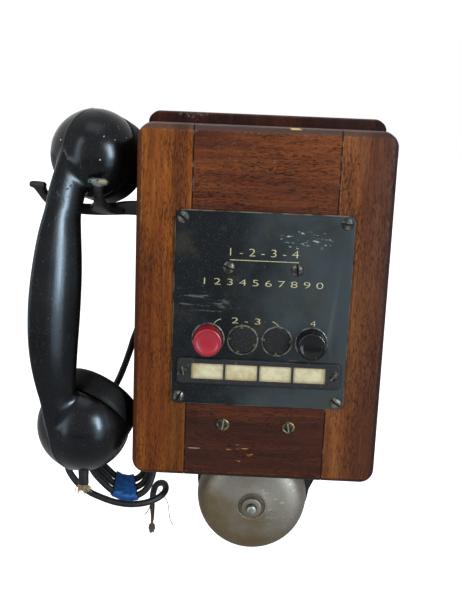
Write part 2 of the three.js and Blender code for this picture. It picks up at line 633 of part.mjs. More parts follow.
// ---------------------------------------------------------------- bell
function bell() {
  const group = new THREE.Group();
  group.position.set(BELL_X, 0, BELL_Z);
  phone.add(group);
  const rim = GONG_FRONT + GONG_DEEP;
  const seat = GONG_FRONT + 1; // floor of the recess round the nut
  const bore = STUD_R + GAP;

  // the gong's outer curve, as radius and depth behind the crown, as shares of its size
  const curve = [
    [0.29, 0.02], [0.6, 0.1], [0.78, 0.2], [0.88, 0.32],
    [0.94, 0.48], [0.98, 0.72], [1, 1],
  ].map(([r, s]) => [r * GONG_R, GONG_FRONT + s * GONG_DEEP]);
  const hollow = curve.map(([r, y]) => [r - GONG_WALL * (0.3 + 0.7 * (y - GONG_FRONT) / GONG_DEEP),
    Math.min(y + GONG_WALL, rim)]);
  const inside = seat + GONG_WALL;
  piece('gong', turned([
    [bore, seat], [RECESS_R - 0.4, seat], [RECESS_R, GONG_FRONT], ...curve,
    ...hollow.slice(1).reverse(), [RECESS_R, inside], [bore, inside], [bore, seat],
  ], 28), NICKEL, group);

  piece('gong_post', turned([
    [0, STUD_END], [STUD_R - 0.6, STUD_END], [STUD_R, STUD_END + 0.6], [STUD_R, inside + GAP],
    [POST_R, inside + GAP], [POST_R, boardFront - BASE_DEEP], [0, boardFront - BASE_DEEP],
  ], 16), STEEL, group);
  piece('gong_nut', turned([
    [bore, seat - NUT_H], [NUT_R - 1, seat - NUT_H], [NUT_R, seat - NUT_H + 1.2],
    [NUT_R, seat - GAP], [bore, seat - GAP], [bore, seat - NUT_H],
  ], 20), NICKEL, group);

  // the base is a box with an open back; its top meets the underside of the case
  const top = CASE_BOTTOM - BELL_Z;
  const round = BASE_ROUND_Z - BELL_Z;
  const cup = (half, roof) => {
    const shape = new THREE.Shape();
    shape.moveTo(BASE_SHIFT + half, roof);
    shape.lineTo(BASE_SHIFT - half, roof);
    shape.lineTo(BASE_SHIFT - half, round);
    shape.absarc(BASE_SHIFT, round, half, Math.PI, 2 * Math.PI);
    shape.closePath();
    return shape;
  };
  const slotX = HAMMER_X;
  const base = cut(
    slab(cup(BASE_HALF, top), boardFront, BASE_DEEP),
    slab(cup(BASE_HALF - BASE_WALL, top - BASE_WALL), boardFront + 1, BASE_DEEP + 1 - BASE_WALL),
    box(slotX - 4, slotX + 4, boardFront - BASE_DEEP - 1, boardFront - BASE_DEEP + BASE_WALL + 1, -3.5, 3.5),
  );
  piece('bell_base', base, BLACK_IRON, group);

  // the hammer swings in the base and strikes the gong from inside
  const leverY = boardFront - BASE_DEEP / 2;
  const pivotZ = HAMMER_PIVOT_Z;
  const pinR = 1.5;
  const lever = join(
    box(slotX - 2.5, slotX + 2.5, leverY - 2, leverY + 2, -2.5, pivotZ + 3),
    box(slotX - 14, slotX + 1, leverY - 2, leverY + 2, pivotZ - 2.5, pivotZ + 2.5),
    box(slotX - 16, slotX - 13, leverY - 2, leverY + 2, pivotZ - 14, pivotZ + 2.5),
    bar(1.4, HAMMER_Y, leverY, 12).translate(slotX, 0, 0),
    new THREE.SphereGeometry(HAMMER_R, 12, 8).translate(slotX, HAMMER_Y, 0),
  );
  const bore2 = bar(pinR + GAP, leverY - 5, leverY + 5, 14).translate(slotX, 0, pivotZ);
  piece('hammer', cut(lever, bore2), BRASS, group);
  const pin = bar(pinR, boardFront - BASE_DEEP + BASE_WALL, boardFront, 14);
  piece('hammer_pivot', pin.translate(slotX, 0, pivotZ), STEEL, group);

  const coilRight = slotX - 16 - 1.6;
  const coilZ = pivotZ - 8;
  const coil = turned([
    [0, 0], [COIL_R, 0], [COIL_R, 1.6], [COIL_R - 1.2, 1.6], [COIL_R - 1.2, COIL_LONG - 1.6],
    [COIL_R, COIL_LONG - 1.6], [COIL_R, COIL_LONG], [0, COIL_LONG],
  ], 16).rotateZ(Math.PI / 2).translate(coilRight, leverY, coilZ);
  const foot = box(
    coilRight - COIL_LONG + 4, coilRight - 4, leverY, boardFront, coilZ - 3, coilZ + 3,
  );
  piece('bell_coil', join(coil, foot), FIBRE, group);
}

// ---------------------------------------------------------------- handset
const rad = THREE.MathUtils.degToRad;
const handsetFrame = new THREE.Matrix4().compose(
  new THREE.Vector3(...EAR),
  new THREE.Quaternion().setFromEuler(new THREE.Euler(
    rad(HANDSET_LEAN), rad(HANDSET_ROLL), rad(HANDSET_TURN), 'ZXY',
  )),
  new THREE.Vector3(1, 1, 1),
);

// Puts a piece turned about Y onto the axis of the ear or of the mouth.
function onEar(geometry) {
  return geometry.rotateX(-rad(EAR_TILT));
}
function onMouth(geometry) {
  return geometry.rotateX(rad(MOUTH_TILT)).translate(0, MOUTH_W, MOUTH_U);
}

// A bowl: part of a ball, cut flat at the seam, with the ball's centre at the origin.
function bowl(radius, seam, segments = 24, steps = 8) {
  const start = Math.asin(seam / radius);
  const points = [[0, -radius]];
  for (let i = 1; i <= steps; i++) {
    const a = -Math.PI / 2 + (i / steps) * (start + Math.PI / 2);
    points.push([radius * Math.cos(a), radius * Math.sin(a)]);
  }
  points.push([0, seam]);
  return turned(points, segments);
}

// A screwed cap: a shallow cup with a dished face, open towards the bowl.
function cap(radius, seam) {
  const y0 = seam + GAP;
  const y1 = seam + CAP_H;
  const top = radius - CAP_FACE_IN;
  return turned([
    [radius - BOWL_WALL, y0], [radius, y0], [top, y1 - 4], [top - 1, y1 - 1.2], [top - 3.5, y1],
    [0, y1 - 4.5], [0, y1 - 7.5], [radius - BOWL_WALL, y1 - 5.5], [radius - BOWL_WALL, y0],
  ], 24);
}

function handset() {
  const group = new THREE.Group();
  group.applyMatrix4(handsetFrame);
  phone.add(group);
  const earFlat = Math.sqrt(EAR_R ** 2 - EAR_SEAM ** 2);
  const mouthFlat = Math.sqrt(MOUTH_R ** 2 - MOUTH_SEAM ** 2);

  // the handle: a rounded triangle with its ridge outwards, swept from bowl to bowl
  const section = new THREE.Shape();
  const half = HANDLE_HALF;
  const ridge = -HANDLE_RIDGE;
  const base = HANDLE_BASE;
  const widest = 0.32 * base;
  section.moveTo(0, ridge);
  section.bezierCurveTo(0.32 * half, 0.97 * ridge, 0.94 * half, 0.3 * ridge, half, widest);
  section.bezierCurveTo(half, 0.8 * base, 0.58 * half, base, 0, base);
  section.bezierCurveTo(-0.58 * half, base, -half, 0.8 * base, -half, widest);
  section.bezierCurveTo(-0.94 * half, 0.3 * ridge, -0.32 * half, 0.97 * ridge, 0, ridge);
  // the handle's line, outwards and down as shares of the length between the bowls
  const path = new THREE.CatmullRomCurve3([
    [0.045, -0.022], [0.107, 0.045], [0.154, 0.14], [0.188, 0.258], [0.212, 0.393], [0.222, 0.539],
    [0.2155, 0.679], [0.194, 0.814], [0.16, 0.915], [0.107, 1.01],
  ].map(([out, down]) => new THREE.Vector3(0, out * MOUTH_U, down * MOUTH_U)));
  const sweep = new THREE.ExtrudeGeometry(section, { extrudePath: path, steps: 14, curveSegments: 4 });
  const place = sweep.attributes.position;
  for (let i = 0; i < place.count; i++) {
    const from = place.getZ(i) / (0.516 * MOUTH_U) - 1;
    place.setX(i, place.getX(i) * (1 - HANDLE_TAPER * from * from));
  }

  const earCavity = onEar(bowl(EAR_R - BOWL_WALL, EAR_SEAM - 0.5, 20, 5));
  const earMouth = onEar(bar(earFlat - BOWL_WALL, EAR_SEAM - 1.5, EAR_SEAM + 30, 24));
  const mouthCavity = onMouth(bowl(MOUTH_R - BOWL_WALL, MOUTH_SEAM - 0.5, 20, 5));
  const mouthMouth = onMouth(bar(mouthFlat - BOWL_WALL, MOUTH_SEAM - 1.5, MOUTH_SEAM + 30, 24));
  const capRoom = onMouth(bar(mouthFlat + 2 * GAP, MOUTH_SEAM, MOUTH_SEAM + CAP_H + 4, 24));
  const sleeveHole = bar(SLEEVE_R + GAP, 0, 40).rotateX(-Math.PI / 2).translate(0, MOUTH_W, MOUTH_U);
  piece('handset_handle', cut(
    join(sweep, onEar(bowl(EAR_R, EAR_SEAM)), onMouth(bowl(MOUTH_R, MOUTH_SEAM))),
    earCavity, earMouth, mouthCavity, mouthMouth, capRoom, sleeveHole,
  ), BAKELITE, group);

  // caps with their sound holes, and the capsules they hold
  const holes = (radius, seam) => {
    const list = [];
    for (let i = 0; i < 7; i++) {
      const r = i === 6 ? 0 : 0.24 * radius;
      const a = (i / 6) * 2 * Math.PI;
      list.push(bar(1.6, seam + 2, seam + CAP_H + 2, 6).translate(r * Math.cos(a), 0, r * Math.sin(a)));
    }
    return list;
  };
  const capsule = (radius, seam) => {
    const r = radius - BOWL_WALL - GAP - 0.2;
    return turned([
      [0, seam - 7], [0.62 * r, seam - 7], [0.86 * r, seam - 3], [r, seam + 1],
      [r, seam + 5], [0.8 * r, seam + 6.5], [0, seam + 6.5],
    ], 18);
  };
  piece('ear_cap', onEar(cut(cap(earFlat, EAR_SEAM), ...holes(earFlat, EAR_SEAM))), BAKELITE, group);
  piece('mouth_cap', onMouth(cut(cap(mouthFlat, MOUTH_SEAM), ...holes(mouthFlat, MOUTH_SEAM))), BAKELITE, group);
  piece('receiver_capsule', onEar(capsule(earFlat, EAR_SEAM)), STEEL, group);
  piece('transmitter_capsule', onMouth(capsule(mouthFlat, MOUTH_SEAM)), STEEL, group);

  // the cut stub of the handset's own cord
  const sleeveTop = MOUTH_R - BOWL_WALL - 1;
  const sleeve = bar(SLEEVE_R, sleeveTop, MOUTH_R + SLEEVE_LONG - 2, 12);
  piece('handset_cord_sleeve', sleeve.rotateX(-Math.PI / 2).translate(0, MOUTH_W, MOUTH_U), CORD_BLACK, group);
  const braidTop = MOUTH_R + SLEEVE_LONG - 2;
  const braid = turned([
    [0, braidTop], [2.6, braidTop], [4.2, braidTop + 2], [6, braidTop + 5.5], [3.4, braidTop + 4.4],
    [1.6, braidTop + 6.5], [0, braidTop + 6.5],
  ], 12);
  piece('handset_cord_braid', braid.rotateX(-Math.PI / 2).translate(0, MOUTH_W, MOUTH_U), THREAD, group);
}

// ---------------------------------------------------------------- switch hook
function switchHook() {
  // the fork, drawn flat in the handset's own frame under the ear bowl, then bent up at its prongs
  const out = FORK_HALF + FORK_STRAP / 2;
  const inn = FORK_HALF - FORK_STRAP / 2;
  const back = 2;
  const web = back - FORK_STRAP;
  const shape = new THREE.Shape();
  const steps = 8;
  shape.moveTo(0, back);
  shape.absarc(out - 12, back - 12, 12, Math.PI / 2, 0, true);
  for (let i = 1; i <= steps; i++) shape.lineTo(out, back - 12 + (-FORK_REACH - back + 12) * (i / steps));
  for (let i = 0; i <= steps; i++) shape.lineTo(inn, -FORK_REACH + (web - 4 + FORK_REACH) * (i / steps));
  shape.absarc(inn - 4, web - 4, 4, 0, Math.PI / 2);
  shape.absarc(-inn + 4, web - 4, 4, Math.PI / 2, Math.PI);
  for (let i = 1; i <= steps; i++) shape.lineTo(-inn, web - 4 + (-FORK_REACH - web + 4) * (i / steps));
  for (let i = 0; i <= steps; i++) shape.lineTo(-out, -FORK_REACH + (back - 12 + FORK_REACH) * (i / steps));
  shape.absarc(-out + 12, back - 12, 12, Math.PI, Math.PI / 2, true);
  const fork = new THREE.ExtrudeGeometry(shape, { depth: FORK_T, bevelEnabled: false, curveSegments: 5 });
  const place = fork.attributes.position;
  const bendFrom = -10;
  for (let i = 0; i < place.count; i++) {
    const run = Math.max(0, (bendFrom - place.getY(i)) / (FORK_REACH + bendFrom));
    place.setZ(i, place.getZ(i) + FORK_UP * run ** 1.4);
  }
  fork.translate(0, 0, -EAR_R - FORK_DROP - FORK_T).applyMatrix4(handsetFrame);

  // the arm: a flat bar on edge from its tail, through the case side, to the fork
  const side = new THREE.Shape();
  const z = hookZ;
  const web0 = EAR[0];
  side.moveTo(hookTail, z - 3);
  side.lineTo(hookTail, z + 1);
  side.lineTo(hookX + 6, z + ARM_HALF);
  side.lineTo(-caseHalf - 12, z + ARM_HALF);
  side.lineTo(web0 + 4.4, z + 2.4);
  side.lineTo(web0 - 5.6, z + 0.6);
  side.lineTo(web0 - 5.6, z - 4.4);
  side.lineTo(web0 + 10.4, z - ARM_HALF);
  side.lineTo(hookX - 4, z - ARM_HALF);
  side.lineTo(hookX + 10, z - 3);
  const arm = slab(side, HOOK_Y + HOOK_T / 2, HOOK_T);
  const bore = bar(HOOK_PIN_R + GAP, HOOK_Y - HOOK_T, HOOK_Y + HOOK_T, 16).translate(hookX, 0, z);
  piece('switch_hook', cut(join(arm, fork), bore), BLACK_IRON);

  // its bracket on the inner face of the case side, with the pivot pin riveted in its cheeks
  const wall = -caseHalf + WALL_T;
  const cheek = HOOK_T / 2 + GAP;
  const shelf = z - SHELF_DROP;
  const cheekEnd = hookX + CHEEK_PAST;
  const bracket = join(
    box(wall, wall + BRACKET_T, HOOK_Y - BRACKET_HALF, HOOK_Y + BRACKET_HALF, shelf - 1, z + BRACKET_UP),
    box(wall, cheekEnd, HOOK_Y - cheek - CHEEK_T, HOOK_Y - cheek, z - CHEEK_HALF, z + CHEEK_HALF),
    box(wall, cheekEnd, HOOK_Y + cheek, HOOK_Y + cheek + CHEEK_T, z - CHEEK_HALF, z + CHEEK_HALF),
    box(wall, wall + SHELF_LONG, HOOK_Y - 5, HOOK_Y + 5, shelf - SHELF_T, shelf),
  );
  const slot = box(wall - 1, wall + BRACKET_T + 1, armSlot.y0, armSlot.y1, armSlot.z0, armSlot.z1);
  const pinEnd = cheek + CHEEK_T + 0.9;
  const pin = bar(HOOK_PIN_R, HOOK_Y - pinEnd, HOOK_Y + pinEnd, 16).translate(hookX, 0, z);
  piece('hook_bracket', join(cut(bracket, slot), pin), STEEL);

  // the return spring under the tail, and the contacts that the tail works
  const spring = coilSpring(HOOK_SPRING_R, HOOK_SPRING_WIRE, shelf, z - ARM_HALF, 5).rotateX(Math.PI / 2);
  spring.translate(hookX + HOOK_SPRING_IN, HOOK_Y, 0);
  piece('hook_spring', spring, STEEL);
  const leafTop = z - LEAF_LOW;
  const blockX = wall + SHELF_LONG - 1;
  piece('hook_contact_block', box(
    blockX - CONTACT_BLOCK, blockX, HOOK_Y - 4, HOOK_Y + 4, shelf, leafTop - LEAF_T,
  ), FIBRE);
  piece('hook_contact_leaf', box(
    blockX - 0.5 - LEAF_LONG, blockX - 0.5, HOOK_Y - 2.5, HOOK_Y + 2.5, leafTop - LEAF_T, leafTop,
  ), BRASS);
}

// ---------------------------------------------------------------- inside the case
function internals() {
  const front = boardFront - INDUCTION_SIZE;
  const half = INDUCTION_LONG / 2;
  const low = INDUCTION_Z - INDUCTION_SIZE / 2;
  const high = INDUCTION_Z + INDUCTION_SIZE / 2;
  const winding = bar(WINDING_R, -half + 1, half - 1, 22).rotateZ(-Math.PI / 2);
  piece('induction_coil', join(
    box(INDUCTION_X - half, INDUCTION_X - half + INDUCTION_FLANGE, front, boardFront, low, high),
    box(INDUCTION_X + half - INDUCTION_FLANGE, INDUCTION_X + half, front, boardFront, low, high),
    winding.translate(INDUCTION_X, boardFront - INDUCTION_SIZE / 2, INDUCTION_Z),
  ), FIBRE);

  piece('condenser', box(
    CONDENSER_X - CONDENSER_W / 2, CONDENSER_X + CONDENSER_W / 2, boardFront - CONDENSER_T, boardFront,
    CONDENSER_Z - CONDENSER_H / 2, CONDENSER_Z + CONDENSER_H / 2,
  ), STEEL);

  const blockZ = CASE_BOTTOM + TERMINAL_UP;
  const face = boardFront - TERMINAL_T;
  const block = box(
    -TERMINAL_W / 2, TERMINAL_W / 2, face, boardFront, blockZ - TERMINAL_H / 2, blockZ + TERMINAL_H / 2,
  );
  const wells = [];
  for (let i = 0; i < 6; i++) {
    const x = (i - 2.5) * WELL_PITCH;
    wells.push(box(
      x - WELL_W / 2, x + WELL_W / 2, face - 1, face + WELL_DEEP, blockZ - WELL_H / 2, blockZ + WELL_H / 2,
    ));
  }
  piece('terminal_block', cut(block, ...wells), BAKELITE);
}

// ---------------------------------------------------------------- loose cord
function looseCord() {
  const inner = CORD_R + GAP;
  const lip = CORD_R + GROMMET_LIP;
  const grommet = turned([
    [inner, -2.4], [GROMMET_R - 1, -2.4], [GROMMET_R, -1.2], [GROMMET_R, 0], [lip, 0],
    [lip, WALL_T], [inner, WALL_T], [inner, -2.4],
  ], 16).rotateZ(Math.PI / 2).rotateZ(Math.PI);
  grommet.translate(-caseHalf, CORD_Y, CORD_Z);
  piece('cord_grommet', grommet, BAKELITE);

  // down the side of the case to the coil, which hangs below the mouth bowl
  const lead = [
    [-58, CORD_Y, CORD_Z], [-66, CORD_Y, CORD_Z], [-75, CORD_Y, CORD_Z], [-81.2, -23.2, -29.4],
    [-85.6, -21, -38.6], [-89.4, -17.8, -51], [-94, -12.4, -65], [-99.5, -8.6, -79],
    [-105.5, -7.9, -90], [-110.8, -11.8, -101], [-114.2, -18.4, -110],
  ];
  piece('line_cord', strand(lead, 26), CORD_BLACK);
  piece('cord_coil', gatheredTurns(CORD_R), CORD_BLACK);

  // blue tape holds the coil's foot together
  const wound = cut(gatheredTurns(CORD_R + GAP + TAPE_T), gatheredTurns(CORD_R + GAP));
  piece('cord_tape', keep(wound, box(TAPE_LEFT, TAPE_RIGHT, -80, 0, 2 * COIL_Z, COIL_Z)), TAPE_BLUE);

  // a last wide turn in front of the coil, cut off at its end, with its threads knotted below
  const last = [
    [-122.6, -31.2, -86.4], [-128, -34.1, -94.4], [-131.4, -38.2, -104], [-132, -41.6, -115.4],
    [-129.8, -45.6, -126.6], [-124.2, -49.8, -136], [-115, -52.8, -143.2], [-102.5, -54.8, -148.2],
    [-89.5, -55.6, -151.2], [-77.5, -54.6, -151.4], [-68, -51.2, -149.8], [-61.6, -45.2, -147.6],
    [-60.2, -37.8, -146], [-63, -30.6, -145.8], [-67.8, -26.6, -149.4], [-70, -25.2, -155.6],
    [-70.6, -25, -162],
  ];
  const threads = turned([
    [0, -0.5], [2, -0.5], [1.7, 5], [1.2, 11], [1, 17], [1.8, 20], [2.6, 22.5], [2.1, 25], [0, 26.5],
  ], 10).rotateX(-Math.PI / 2).translate(...last.at(-1));
  piece('cord_end', join(strand(last, 28), threads), CORD_BLACK);
}

function strand(points, steps) {
  return tube(points.map((p) => new THREE.Vector3(...p)), CORD_R, steps, 8);
}

// The coil's outer shape as one ring: a slanting row of strands turned about the Y axis, drawn oval
// and tilted. The radius is a strand's own, or larger for what is wound round them.
function gatheredTurns(radius) {
  const back = (COIL_PITCH * (COIL_ROWS - 1)) / 2;
  const out = (COIL_GROWTH * COIL_WIDE * (COIL_ROWS - 1)) / 2;
  const lean = Math.atan2(back, -out);
  const row = [];
  for (const [r, y, from] of [[COIL_WIDE + out, -back, 0.5], [COIL_WIDE - out, back, 1.5]]) {
    for (let i = 0; i <= 5; i++) {
      const a = lean + Math.PI * (from + i / 5);
      row.push([r + radius * Math.cos(a), y + radius * Math.sin(a)]);
    }
  }
  const tilt = new THREE.Matrix4().set(
    1, 0, -COIL_SKEW / COIL_WIDE, COIL_X,
    0, 1, COIL_LEAN / COIL_WIDE, COIL_Y,
    -COIL_RISE / COIL_WIDE, 0, COIL_TALL / COIL_WIDE, COIL_Z,
    0, 0, 0, 1,
  );
  return turned([...row, row[0]], 32).applyMatrix4(tilt);
}

backboard();
caseBox();
panelBoards();
buttonPlate();
labelStrip();
buttons();
cupScrews();
bell();
switchHook();
internals();
handset();
looseCord();

export default phone;
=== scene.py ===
# A wooden wall telephone with a button plate, a gong under its case and a handset on a forked
# switch hook. A piece is shaped in millimetres. Its finish and the finished piece are in metres.
import bmesh
import bpy
import math
from mathutils import Matrix, Vector
from mathutils.geometry import interpolate_bezier


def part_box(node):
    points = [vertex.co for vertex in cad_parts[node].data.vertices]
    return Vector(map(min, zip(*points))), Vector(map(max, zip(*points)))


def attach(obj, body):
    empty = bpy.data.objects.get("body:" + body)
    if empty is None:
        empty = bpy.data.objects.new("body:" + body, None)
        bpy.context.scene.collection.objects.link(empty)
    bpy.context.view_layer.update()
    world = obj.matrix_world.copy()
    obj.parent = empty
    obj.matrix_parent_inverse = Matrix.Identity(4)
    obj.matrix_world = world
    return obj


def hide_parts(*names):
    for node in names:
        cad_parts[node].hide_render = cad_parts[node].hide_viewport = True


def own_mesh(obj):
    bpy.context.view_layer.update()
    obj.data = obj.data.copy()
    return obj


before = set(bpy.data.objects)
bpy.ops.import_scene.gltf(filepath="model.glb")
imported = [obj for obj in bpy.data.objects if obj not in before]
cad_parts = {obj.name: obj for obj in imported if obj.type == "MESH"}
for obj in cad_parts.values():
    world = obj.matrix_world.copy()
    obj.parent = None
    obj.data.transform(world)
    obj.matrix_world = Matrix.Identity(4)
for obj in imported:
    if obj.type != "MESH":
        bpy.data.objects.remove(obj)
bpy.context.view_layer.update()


# The room is white all round, with a white floor far below, three soft lamps and two more that give
# only shine. The camera stands in front and a little above, turned slightly to one side.
WHITE = (1.0, 1.0, 1.0, 1.0)
ROOM_TINT, ROOM_LIGHT = (0.93, 0.96, 1.0, 1.0), 0.42
FLOOR_Z, FLOOR_HALF, FLOOR_GREY = -0.6, 6.0, (0.9, 0.9, 0.9, 1.0)
EYE = (-0.00785, -0.72472, 0.17338)
EYE_RIGHT, EYE_UP = Vector((0.99885, 0.02704, 0.03953)), Vector((-0.04508, 0.25200, 0.96668))
EYE_LENS, FILM_WIDTH = 63.0, 36.0


def placed(name, data):
    """An object in the scene for a mesh, a curve, a lamp or a camera."""
    thing = bpy.data.objects.new(name, data)
    bpy.context.scene.collection.objects.link(thing)
    return thing


world = bpy.data.worlds.new("white_room")
bpy.context.scene.world = world
world.use_nodes = True
sky = world.node_tree
sky.nodes.clear()
path = sky.nodes.new("ShaderNodeLightPath")
seen = path.outputs["Is Camera Ray"]
for ray in ("Is Glossy Ray", "Is Transmission Ray"):
    either = sky.nodes.new("ShaderNodeMath")
    either.operation = "MAXIMUM"
    sky.links.new(seen, either.inputs[0])
    sky.links.new(path.outputs[ray], either.inputs[1])
    seen = either.outputs[0]
choose = sky.nodes.new("ShaderNodeMixShader")
sky.links.new(seen, choose.inputs[0])
for socket, tint, strength in ((1, ROOM_TINT, ROOM_LIGHT), (2, WHITE, 1.0)):
    glow = sky.nodes.new("ShaderNodeBackground")
    glow.inputs["Color"].default_value = tint
    glow.inputs["Strength"].default_value = strength
    sky.links.new(glow.outputs[0], choose.inputs[socket])
sky.links.new(choose.outputs[0], sky.nodes.new("ShaderNodeOutputWorld").inputs["Surface"])

ground = bmesh.new()
bmesh.ops.create_grid(ground, x_segments=1, y_segments=1, size=FLOOR_HALF)
bmesh.ops.translate(ground, vec=(0, 0, FLOOR_Z), verts=ground.verts)
floor = placed("floor", bpy.data.meshes.new("floor"))
ground.to_mesh(floor.data)
ground.free()
floor_white = bpy.data.materials.new("floor_white")
floor_white.use_nodes = True
floor_tree = floor_white.node_tree
floor_shader = floor_tree.nodes["Principled BSDF"]
floor_shader.inputs["Base Color"].default_value = FLOOR_GREY
floor_shader.inputs["Specular IOR Level"].default_value = 0.0
floor_shader.inputs["Emission Color"].default_value = WHITE
floor_path = floor_tree.nodes.new("ShaderNodeLightPath")
floor_tree.links.new(floor_path.outputs["Is Camera Ray"], floor_shader.inputs["Emission Strength"])
floor.data.materials.append(floor_white)

for name, spot, aim, size, power, tint, lights in (
    ("window_left", (-1.15, -1.4, 0.50), (-0.03, -0.05, -0.02), (0.30, 1.9), 17.0, (0.88, 0.95, 1.0), True),
    ("window_right", (1.1, -1.5, 0.9), (0.0, -0.05, -0.02), (0.4, 0.6), 10.0, (1.0, 0.98, 0.95), True),
    ("top_glow", (-0.1, -0.4, 1.6), (0.0, -0.05, 0.0), (1.0, 0.7), 5.0, (1.0, 1.0, 1.0), True),
    ("window_shine", (1.05, -1.15, 0.42), (-0.11, -0.08, 0.02), (0.22, 0.80), 48.0, (0.76, 0.90, 1.0), False),
    ("low_shine", (1.0, -1.15, -0.25), (-0.11, -0.08, 0.0), (0.5, 0.6), 6.0, (0.76, 0.90, 1.0), False),
):
    lamp = bpy.data.lights.new(name, "AREA")
    lamp.shape = "RECTANGLE"
    lamp.size, lamp.size_y = size
    lamp.energy = power
    lamp.color = tint
    stand = placed(name, lamp)
    stand.location = spot
    stand.rotation_euler = (Vector(aim) - Vector(spot)).to_track_quat("-Z", "Y").to_euler()
    stand.visible_diffuse = lights

eye = placed("camera", bpy.data.cameras.new("camera"))
bpy.context.scene.camera = eye
eye.data.lens = EYE_LENS
eye.data.sensor_width = FILM_WIDTH
eye.data.clip_start = 0.01
facing = Matrix((EYE_RIGHT, EYE_UP, EYE_RIGHT.cross(EYE_UP))).transposed().to_4x4()
eye.matrix_world = Matrix.Translation(EYE) @ facing
bpy.context.scene.view_settings.view_transform = "Standard"


# The backboard is one dark hardwood board with a tongue below it that carries the bell. Its front
# arrises are eased, and dust lies along its top.
def shade(hexed, share=1.0):
    """A colour written as RRGGBB, as the light it gives off, or a share of that light."""
    parts = [int(hexed[i:i + 2], 16) / 255 for i in (0, 2, 4)]
    return tuple(share * (p / 12.92 if p <= 0.04045 else ((p + 0.055) / 1.055) ** 2.4) for p in parts)


class Value:
    """A socket in a finish: sums on it add Math nodes."""

    def __init__(self, finish, socket):
        self.finish, self.socket = finish, socket

    def sum(self, operation, *terms):
        return self.finish.add("Math", {"operation": operation}, dict(enumerate(terms)))

    def __add__(self, other):
        return self.sum("ADD", self, other)

    def __radd__(self, other):
        return self.sum("ADD", other, self)

    def __sub__(self, other):
        return self.sum("SUBTRACT", self, other)

    def __rsub__(self, other):
        return self.sum("SUBTRACT", other, self)

    def __mul__(self, other):
        return self.sum("MULTIPLY", self, other)

    def __rmul__(self, other):
        return self.sum("MULTIPLY", other, self)

    def __pow__(self, other):
        return self.sum("POWER", self, other)

    def __abs__(self):
        return self.sum("ABSOLUTE", self)

    def larger(self, other):
        return self.sum("MAXIMUM", self, other)

    def between(self, low, high):
        """0 up to low, 1 from high on, smooth between."""
        return self.finish.add("MapRange", {"interpolation_type": "SMOOTHSTEP"},
                               {"Value": self, "From Min": low, "From Max": high})


class Finish:
    """A material of its own nodes. Sizes that don't change are set on the shader itself."""

    def __init__(self, name, **fixed):
        self.material = bpy.data.materials.new(name)
        self.material.use_nodes = True
        self.tree = self.material.node_tree
        self.shader = self.tree.nodes["Principled BSDF"]
        for socket, value in fixed.items():
            self.shader.inputs[socket.replace("_", " ")].default_value = value
        self.place = self.add("TexCoord", out="Object")

    def add(self, kind, settings=None, sockets=None, out=0):
        """Any node: its type, its settings, and the values or links of its sockets."""
        node = self.tree.nodes.new("ShaderNode" + kind)
        for setting, value in (settings or {}).items():
            if setting == "stops":
                ramp = node.color_ramp.elements
                while len(ramp) < len(value):
                    ramp.new(0.5)
                for stop, (at, colour) in zip(ramp, value):
                    stop.position, stop.color = at, (*colour, 1.0)
            else:
                setattr(node, setting, value)
        for key, value in (sockets or {}).items():
            if isinstance(value, Value):
                self.tree.links.new(value.socket, node.inputs[key])
            else:
                node.inputs[key].default_value = value
        return Value(self, node.outputs[out])

    def noise(self, scale, detail=4.0, stretch=None, shift=0.0, rough=0.5):
        """Noise with a number of waves to the metre, drawn out along an axis where its stretch is small."""
        where = self.place
        if stretch:
            where = self.add("Mapping", None, {"Vector": where, "Scale": stretch, "Location": (shift,) * 3})
        return self.add("TexNoise", None,
                        {"Vector": where, "Scale": scale, "Detail": detail, "Roughness": rough})

    def mix(self, share, under, over):
        """From one colour to another. Each is a Value or is written as RRGGBB."""
        under, over = ((*shade(c), 1.0) if isinstance(c, str) else c for c in (under, over))
        return self.add("Mix", {"data_type": "RGBA", "blend_type": "MIX", "clamp_factor": True},
                        {0: share, 6: under, 7: over}, out=2)

    def axis(self, letter):
        return self.add("SeparateXYZ", None, {0: self.place}, out="XYZ".index(letter))

    def spot(self, x, z, wide, high, wander=0.0):
        """1 inside an oval on the front, given by its middle and half sizes in millimetres."""
        across = (self.axis("X") * 1000 - x) * (1 / wide)
        up = (self.axis("Z") * 1000 - z) * (1 / high)
        far = across * across + up * up + (self.noise(300, 3) - 0.5) * wander * 4
        return 1 - far.between(0.6, 1.0)

    def use(self, **values):
        for socket, value in values.items():
            self.tree.links.new(value.socket, self.shader.inputs[socket.replace("_", " ")])

    def relief(self, height, depth):
        """Bump of a depth in metres."""
        self.use(Normal=self.add("Bump", None, {"Height": height, "Distance": depth, "Strength": 1.0}))


def timber(name, along, dark, middle, light, pores=0.5, gloss=0.38, shift=0.0):
    """Old varnished hardwood with its grain along one axis: bands, streaks and short dark pores."""
    wood = Finish(name, Specular_IOR_Level=0.08)

    def drawn_out(share):
        return tuple(share if letter == along else 1.0 for letter in "XYZ")

    bands = wood.noise(38, 3, drawn_out(0.10), shift)
    wood.ribbon = wood.noise(170, 4, drawn_out(0.07), shift, 0.6)
    streak = wood.noise(900, 4, drawn_out(0.06), shift, 0.65)
    body = bands * 0.50 + wood.ribbon * 0.32 + streak * 0.24 - 0.02
    stops = [(0.36, shade(dark)), (0.51, shade(middle)), (0.66, shade(light))]
    colour = wood.add("ValToRGB", {"stops": stops}, {0: body})
    crowd = wood.noise(75, 4, drawn_out(0.3), shift + 8, 0.6).between(0.36, 0.62)
    pore = wood.noise(1750, 3, drawn_out(0.2), shift + 3, 0.65).between(0.50, 0.60) * (0.45 + crowd * 0.55)
    wood.colour = wood.mix(pore * pores, colour, (*shade(dark, 0.25), 1.0))
    wood.use(Roughness=gloss + wood.noise(55, 4, None, 0.0, 0.62) * 0.22 + pore * 0.25)
    wood.relief(streak * 0.35 - pore, 0.00012)
    return wood


